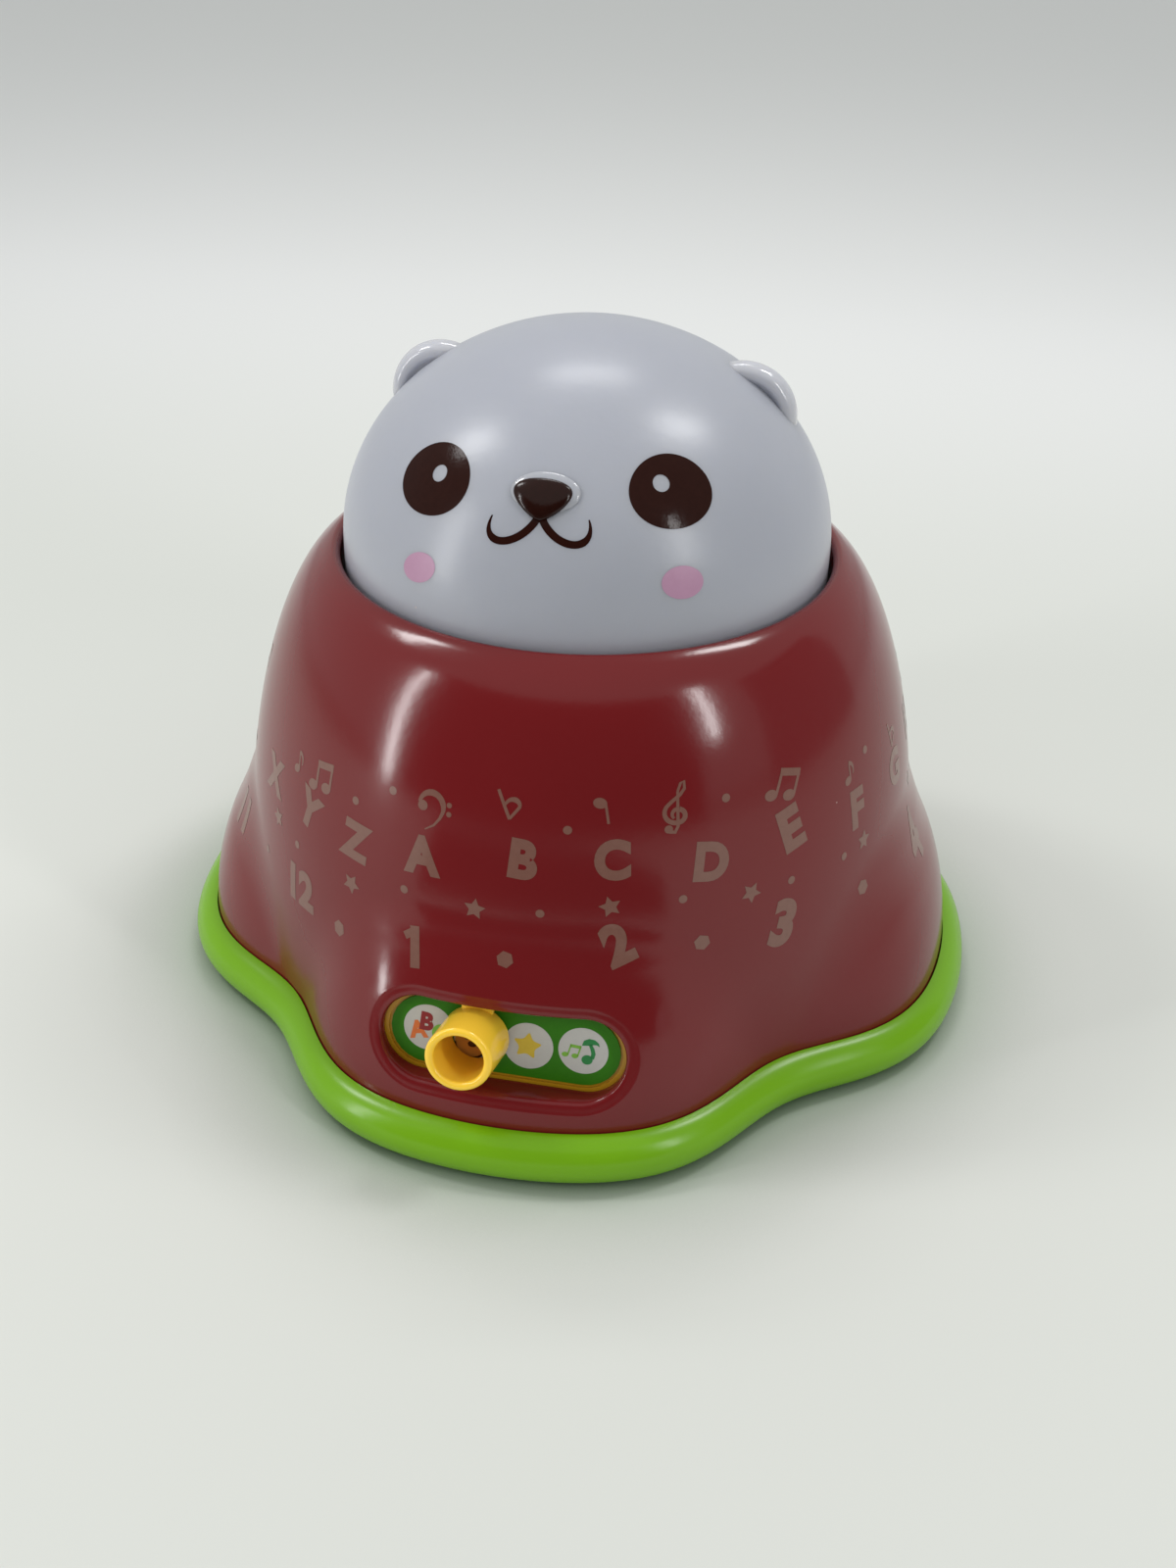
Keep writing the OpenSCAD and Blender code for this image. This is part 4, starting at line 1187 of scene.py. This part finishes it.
eyes = bmesh.new()
for turn, z, *glint_at in EYES:
    stamp(eyes, eye_shape(glint_at), on_head(turn, z))
piece("eyes", eyes, eye_ink, "head")
cheeks = bmesh.new()
for turn, z, radius, squeeze, tilt in CHEEKS:
    stamp(cheeks, disc(radius, sides=40, squeeze=squeeze), on_head(turn, z, tilt))
piece("cheeks", cheeks, cheek_ink, "head")

# %% [markdown]
# ## Nose and mouth
# The nose is a separate shiny pebble that stands on a low raised pad. Both are spheres that are flattened
# and bent onto the dome, which gives them a soft edge. The mouth is two printed curls, each a ribbon
# along part of an oval.

# %% Nose and mouth
FACE_TURN = -0.5
PAD_Z = 117.9
NOSE_Z = 116.8
PEBBLE_POWER = 0.7
NARROW_FROM = 0.3


def pebble(width, height, rise, place, lift=0.0, narrow=0.0):
    """A soft raised form: a sphere that is flattened, narrowed downwards and bent onto a surface."""
    bm = bmesh.new()
    bmesh.ops.create_uvsphere(bm, u_segments=64, v_segments=32, radius=1.0)
    for v in bm.verts:
        x, y, z = v.co
        h = math.copysign(abs(z) ** PEBBLE_POWER, z) * rise
        v.co = place(x * width / 2 * (1 + narrow * (y - NARROW_FROM)), y * height / 2, h + lift)
    close(bm)
    return bm


piece("snout_pad", pebble(12.2, 7.2, 1.0, on_head(0, PAD_Z)), pad_plastic, "head")
piece("nose", pebble(10.8, 7.2, 1.2, on_head(FACE_TURN, NOSE_Z), 0.5, 0.4), nose_gloss, "head")

MOUTH_Z = 112.5
MOUTH_TILT = 0.04
MOUTH_STRETCH = 1.15
CURL_TOP = 114.6
CURL_R = 4.3
CURL_DROP = 4.1
CURL_LEAN = 1.5
CURL_RISE = 0.5
CURL_STEPS = 24
mouth = bmesh.new()
for side in (-1, 1):
    curl = []
    for turn in even_steps(180, 360, CURL_STEPS):
        a = math.radians(turn)
        x = CURL_R + CURL_R * math.cos(a) - CURL_LEAN * math.sin(a)
        z = CURL_TOP - CURL_RISE * math.cos(a) + CURL_DROP * math.sin(a) + side * MOUTH_TILT * x
        curl.append((side * x, (z - MOUTH_Z) * MOUTH_STRETCH))
    stamp(mouth, ribbon(curl, [1.35, 1.35, 1.3, 0.25]), on_head(FACE_TURN, MOUTH_Z))
piece("mouth", mouth, eye_ink, "head")

# %% [markdown]
# ## The ring knob
# The knob is a short tube with a rounded front edge. Its bore narrows a little towards the back, and a
# flat arm joins it to the switch behind the plate. The tube is spun and the arm is made of boxes with
# rounded edges, because that is how such a knob is drawn. The tube leans a little up and to the left,
# square to the round body.

# %% Ring knob
KNOB_X = -5.0
KNOB_UP = 0.8
KNOB_SHIFT = (-0.35, KNOB_UP - 0.5, 0)
KNOB_LEAN = (-0.5, 1.0, 0)
KNOB_R = 6.3
KNOB_TAPER = 0.1
KNOB_BORE = 4.6
KNOB_BORE_BACK = 4.5
KNOB_BACK = 0.9
KNOB_FOOT = 0.3
KNOB_REACH = 12.5
KNOB_STEPS = 96
ARM_W = 6.0
ARM_T = 1.4
ARM_LOW = KNOB_UP + 4.9
ARM_TOP = 11.1
ARM_LAP = 1.0
BRIDGE_LOW = 9.75
LEG_Z = -9.45
LEG_LOW = -4.5

front_r = KNOB_R - KNOB_TAPER
lip_r = (front_r - KNOB_BORE) / 2
lip_line = arc((KNOB_BORE + lip_r, KNOB_REACH - lip_r), lip_r, 0, 180, 12)
foot_line = [(KNOB_R - KNOB_FOOT, KNOB_BACK), (KNOB_R, KNOB_BACK + KNOB_FOOT)]
knob = revolve(foot_line + lip_line + [(KNOB_BORE_BACK, KNOB_BACK)], KNOB_STEPS)
for v in knob.verts:
    ahead = (v.co.z - KNOB_BACK) / (KNOB_REACH - KNOB_BACK)
    v.co += Vector(KNOB_SHIFT) + Vector(KNOB_LEAN) * ahead


def add_bar(target, low, high, edge=0.35):
    """Adds a box with rounded edges, from its low corner to its high one."""
    bm = bmesh.new()
    bmesh.ops.create_cube(bm, size=1.0)
    bmesh.ops.scale(bm, vec=Vector(high) - Vector(low), verts=bm.verts)
    bmesh.ops.translate(bm, vec=(Vector(low) + Vector(high)) / 2, verts=bm.verts)
    rounded = {"affect": "EDGES", "segments": 3, "profile": 0.5, "material": -1}
    bmesh.ops.bevel(bm, geom=bm.edges[:], offset=edge, **rounded)
    add_to(target, bm)


half_arm = ARM_W / 2
add_bar(knob, (-half_arm, ARM_LOW, KNOB_BACK), (half_arm, ARM_TOP, KNOB_BACK + ARM_T))
add_bar(knob, (-half_arm, BRIDGE_LOW, LEG_Z), (half_arm, ARM_TOP, KNOB_BACK + ARM_LAP))
add_bar(knob, (-half_arm, LEG_LOW, LEG_Z), (half_arm, ARM_TOP - ARM_LAP, LEG_Z + ARM_T))
for v in knob.verts:
    v.co = plate_point(v.co.x + KNOB_X, v.co.y, v.co.z)
piece("ring_knob", knob, yellow_plastic, "knob", ["mode_knob"])

# %% [markdown]
# ## The mode label
# Four white circles on the green film show the modes: letters, a simple animal face behind the knob, a
# star, and notes. They could be one printed picture, but drawn as thin inks, each colour a piece of its
# own, they stay sharp. Where inks overlap they lie a few hundredths of a millimetre apart.

# %% Label drawings
ICONS = [(-14.55, 0.3), (-5.1, -0.2), (4.4, -0.5), (14.6, 0.1)]
ICON_R = 4.65
ANIMAL_AT = (-6.3, -1.6)
circles = bmesh.new()
for x, y in ICONS:
    stamp(circles, disc(ICON_R, sides=56), on_label(x, y), 0.02)
piece("label_circles", circles, white_ink, "base")


def drawing(name, shape, x, y, finish, tilt=0.0, lift=0.05):
    """Makes a flat shape a piece of its own on the label."""
    bm = bmesh.new()
    stamp(bm, shape, on_label(x, y, tilt), lift)
    piece(name, bm, finish, "base")


drawing("label_letter_a", letters("A", 3.5), -16.5, -0.3, orange_ink, 10)
drawing("label_letter_b", letters("B", 3.6), -14.8, 1.5, dark_red_ink, -6, 0.06)
drawing("label_letter_c", letters("C", 3.4), -12.3, -0.5, leaf_ink, -8)
tips = [disc(0.9, (x, 2.3), sides=20) for x in (-2.1, 2.1)]
drawing("label_animal", joined(disc(3.1, sides=48), *tips), *ANIMAL_AT, tan_ink)
marks = [disc(0.5, (x, 1.3), sides=16, squeeze=1.5) for x in (-0.85, 0.85)]
marks.append(disc(0.85, (0.2, -0.2), sides=20, squeeze=0.75))
marks.append(ribbon(arc((0, 0), 3.0, 180, 360, 32), [0.25, 0.4, 0.4, 0.25]))
drawing("label_animal_marks", joined(*marks), *ANIMAL_AT, brown_ink, lift=0.07)
plump = star(2.9, 0.52)
rounded = {"affect": "VERTICES", "segments": 4, "profile": 0.5, "material": -1}
bmesh.ops.bevel(plump, geom=plump.verts[:], offset=0.5, **rounded)
drawing("label_star", plump, 4.2, -0.5, gold_ink, -6)
drawing("label_notes", sized(joined_notes(), 0.46), 12.55, -0.15, leaf_ink, -14)
flag_line = [(-1.55, 1.2), (-1.0, 1.75), (-0.2, 2.05), (0.7, 2.1), (1.3, 1.85), (1.6, 1.4)]
flag = ribbon(flag_line, [0.1, 1.1, 1.4, 1.0, 0.5, 0.1])
stem = ribbon([(-0.1, 1.6), (0.35, 0.7), (0.6, -0.2), (0.42, -1.3)], [0.6, 0.75, 0.8, 0.7])
note_head = disc(1.05, (-0.5, -1.6), squeeze=0.92, tilt=20)
drawing("label_big_note", joined(note_head, flag, stem), 15.9, 0.0, green_ink)

# %% [markdown]
# ## Floor
# The toy stands on a pale sheet that is painted lighter towards the back, as painted light. Close to the toy
# it gets a green-tinted painted shadow, as paper does under a bright rim. The light that bounces off the rim
# is too faint for that here, so an ambient occlusion node, which tells how near the rim is, mixes the
# painted shadow in.

# %% Floor
SHEET_R = 4.0
SHADE_REACH = 0.028
# Where the painted light on the sheet starts and ends, in metres towards the back
PALE_FROM = 0.12
PALE_TO = 0.5


def add_stage(name, bm, finish):
    """Puts a mesh in metres in the scene that isn't part of the toy."""
    mesh = to_mesh(bm, name)
    mesh.materials.append(finish)
    obj = bpy.data.objects.new(name, mesh)
    bpy.context.scene.collection.objects.link(obj)
    return obj


paper = Finish("pale_sheet")
near_tone = paper.mix(paper.noise(3.0, 3.0), colour(212, 213, 208), colour(207, 209, 204))
# The sheet is painted lighter towards the back: painted light
painted_light_sheet_tone = paper.mix(paper.ramp("Y", PALE_FROM, PALE_TO), near_tone, colour(236, 236, 236))
# A green-tinted painted shadow, darkest where the ambient occlusion finds the rim near
open_air = paper.node("ShaderNodeAmbientOcclusion", {"samples": 8}, {"Distance": SHADE_REACH}, "AO")
painted_shadow_tone = paper.mix(open_air, colour(64, 98, 56), painted_light_sheet_tone)
sheet = bmesh.new()
bmesh.ops.create_circle(sheet, cap_ends=True, segments=96, radius=SHEET_R)
add_stage("pale_sheet", sheet, paper.surface({"Base Color": painted_shadow_tone, "Roughness": 0.7}))
print("floor is", 2 * SHEET_R, "m wide")

# %% [markdown]
# ## Screens
# Gloss shows what stands round an object, so a studio sets up cloths for it. The toy stands in a bright
# tent that is open at the front. The red body shows that dark opening, and a dark mat before it. A grey
# screen stands on the right. They are there for the gloss alone: the camera doesn't see them, and they
# don't shade the floor.

# %% Screens
OPENING_R = 0.75
OPENING_TOP = 0.66
OPENING_SIDE = 50
SIDE_TOP = 0.56
SCREEN_FOOT = 0.004
SCREEN_STEPS = 40
MAT_R = 0.2
MAT_END = 0.5
MAT_SIDE = 34
MAT_Z = 0.002
MAT_TAPER = 0.45


def cloth(name, main, second):
    f = Finish(name)
    return f.surface({"Base Color": f.mix(f.noise(6.0, 3.0), main, second), "Roughness": 1.0})


def screen(name, strips, finish):
    """Strips of cloth round the toy that are seen in its gloss alone; on the right a mat is cut shorter."""
    bm = bmesh.new()
    for start, end, *ends in strips:
        a = math.radians(start - 90)
        foot = [bm.verts.new((r * math.cos(a), r * math.sin(a), z)) for r, z in ends]
        line = foot + [bm.edges.new(foot)]
        turned = {"cent": (0, 0, 0), "axis": (0, 0, 1), "angle": math.radians(end - start)}
        bmesh.ops.spin(bm, geom=line, steps=SCREEN_STEPS, **turned)
    for v in bm.verts:
        side = math.degrees(math.atan2(v.co.x, -v.co.y)) / MAT_SIDE
        reach = OPENING_R - MAT_TAPER * max(side, 0.0)
        if v.co.z < (MAT_Z + SCREEN_FOOT) / 2 and v.co.xy.length > reach:
            v.co.xy = v.co.xy.normalized() * reach
    obj = add_stage(name, bm, finish)
    obj.visible_camera = False
    obj.visible_diffuse = False
    obj.visible_shadow = False


dark_cloth = cloth("dark_cloth", colour(38, 38, 40), colour(30, 30, 32))
front_wall = (-OPENING_SIDE, OPENING_SIDE, (OPENING_R, SCREEN_FOOT), (OPENING_R, OPENING_TOP))
near_mat = (-MAT_SIDE, MAT_SIDE, (MAT_R, MAT_Z), (MAT_END, MAT_Z))
screen("dark_opening", [front_wall, near_mat], dark_cloth)
grey_cloth = cloth("grey_cloth", colour(140, 140, 142), colour(130, 130, 132))
side_wall = (74, 116, (OPENING_R, SCREEN_FOOT), (OPENING_R, SIDE_TOP))
far_mat = (-MAT_SIDE, MAT_SIDE, (MAT_END, MAT_Z), (OPENING_R, MAT_Z))
screen("grey_screen", [side_wall, far_mat], grey_cloth)
print("opening is", round(2 * OPENING_R * math.sin(math.radians(OPENING_SIDE)), 2), "m wide")

# %% [markdown]
# ## Lamps
# Two narrow upright lamps make the long streaks on the body's front. Two soft lamps above light the head
# and the shoulder, and a bar behind the toy lights the top of the dome. The tent is an even, pale world.

# %% Lamps
AIM = Vector((0, 0, 0.07))


def lamp(name, turn, height, distance, size, power):
    """A soft rectangular lamp that looks at the toy; turn and height are angles from the front."""
    data = bpy.data.lights.new(name, "AREA")
    data.shape = "RECTANGLE"
    data.size, data.size_y = size
    data.energy = power
    t = math.radians(turn)
    e = math.radians(height)
    outwards = Vector((math.sin(t) * math.cos(e), -math.cos(t) * math.cos(e), math.sin(e)))
    turned = outwards.to_track_quat("Z", "Y").to_matrix().to_4x4()
    obj = bpy.data.objects.new(name, data)
    obj.matrix_world = Matrix.Translation(AIM + outwards * distance) @ turned
    bpy.context.scene.collection.objects.link(obj)


lamp("left_strip", -54, 15, 0.72, (0.034, 0.50), 1.4)
lamp("right_strip", 56, 26, 0.72, (0.034, 0.32), 0.9)
lamp("left_top", -86, 51, 0.75, (0.11, 0.20), 1.3)
lamp("right_top", 118, 60, 0.75, (0.11, 0.20), 1.3)
lamp("back_bar", -168, 61, 0.80, (0.30, 0.05), 0.9)

TENT_TONE = (0.95, 0.98, 0.96, 1.0)
TENT_LIGHT = 0.60
world = bpy.data.worlds.new("bright_tent")
world.use_nodes = True
tent = world.node_tree.nodes["Background"].inputs
tent["Color"].default_value = TENT_TONE
tent["Strength"].default_value = TENT_LIGHT
bpy.context.scene.world = world
bpy.context.scene.view_settings.view_transform = "Standard"
print("lamps:", len(bpy.data.lights))
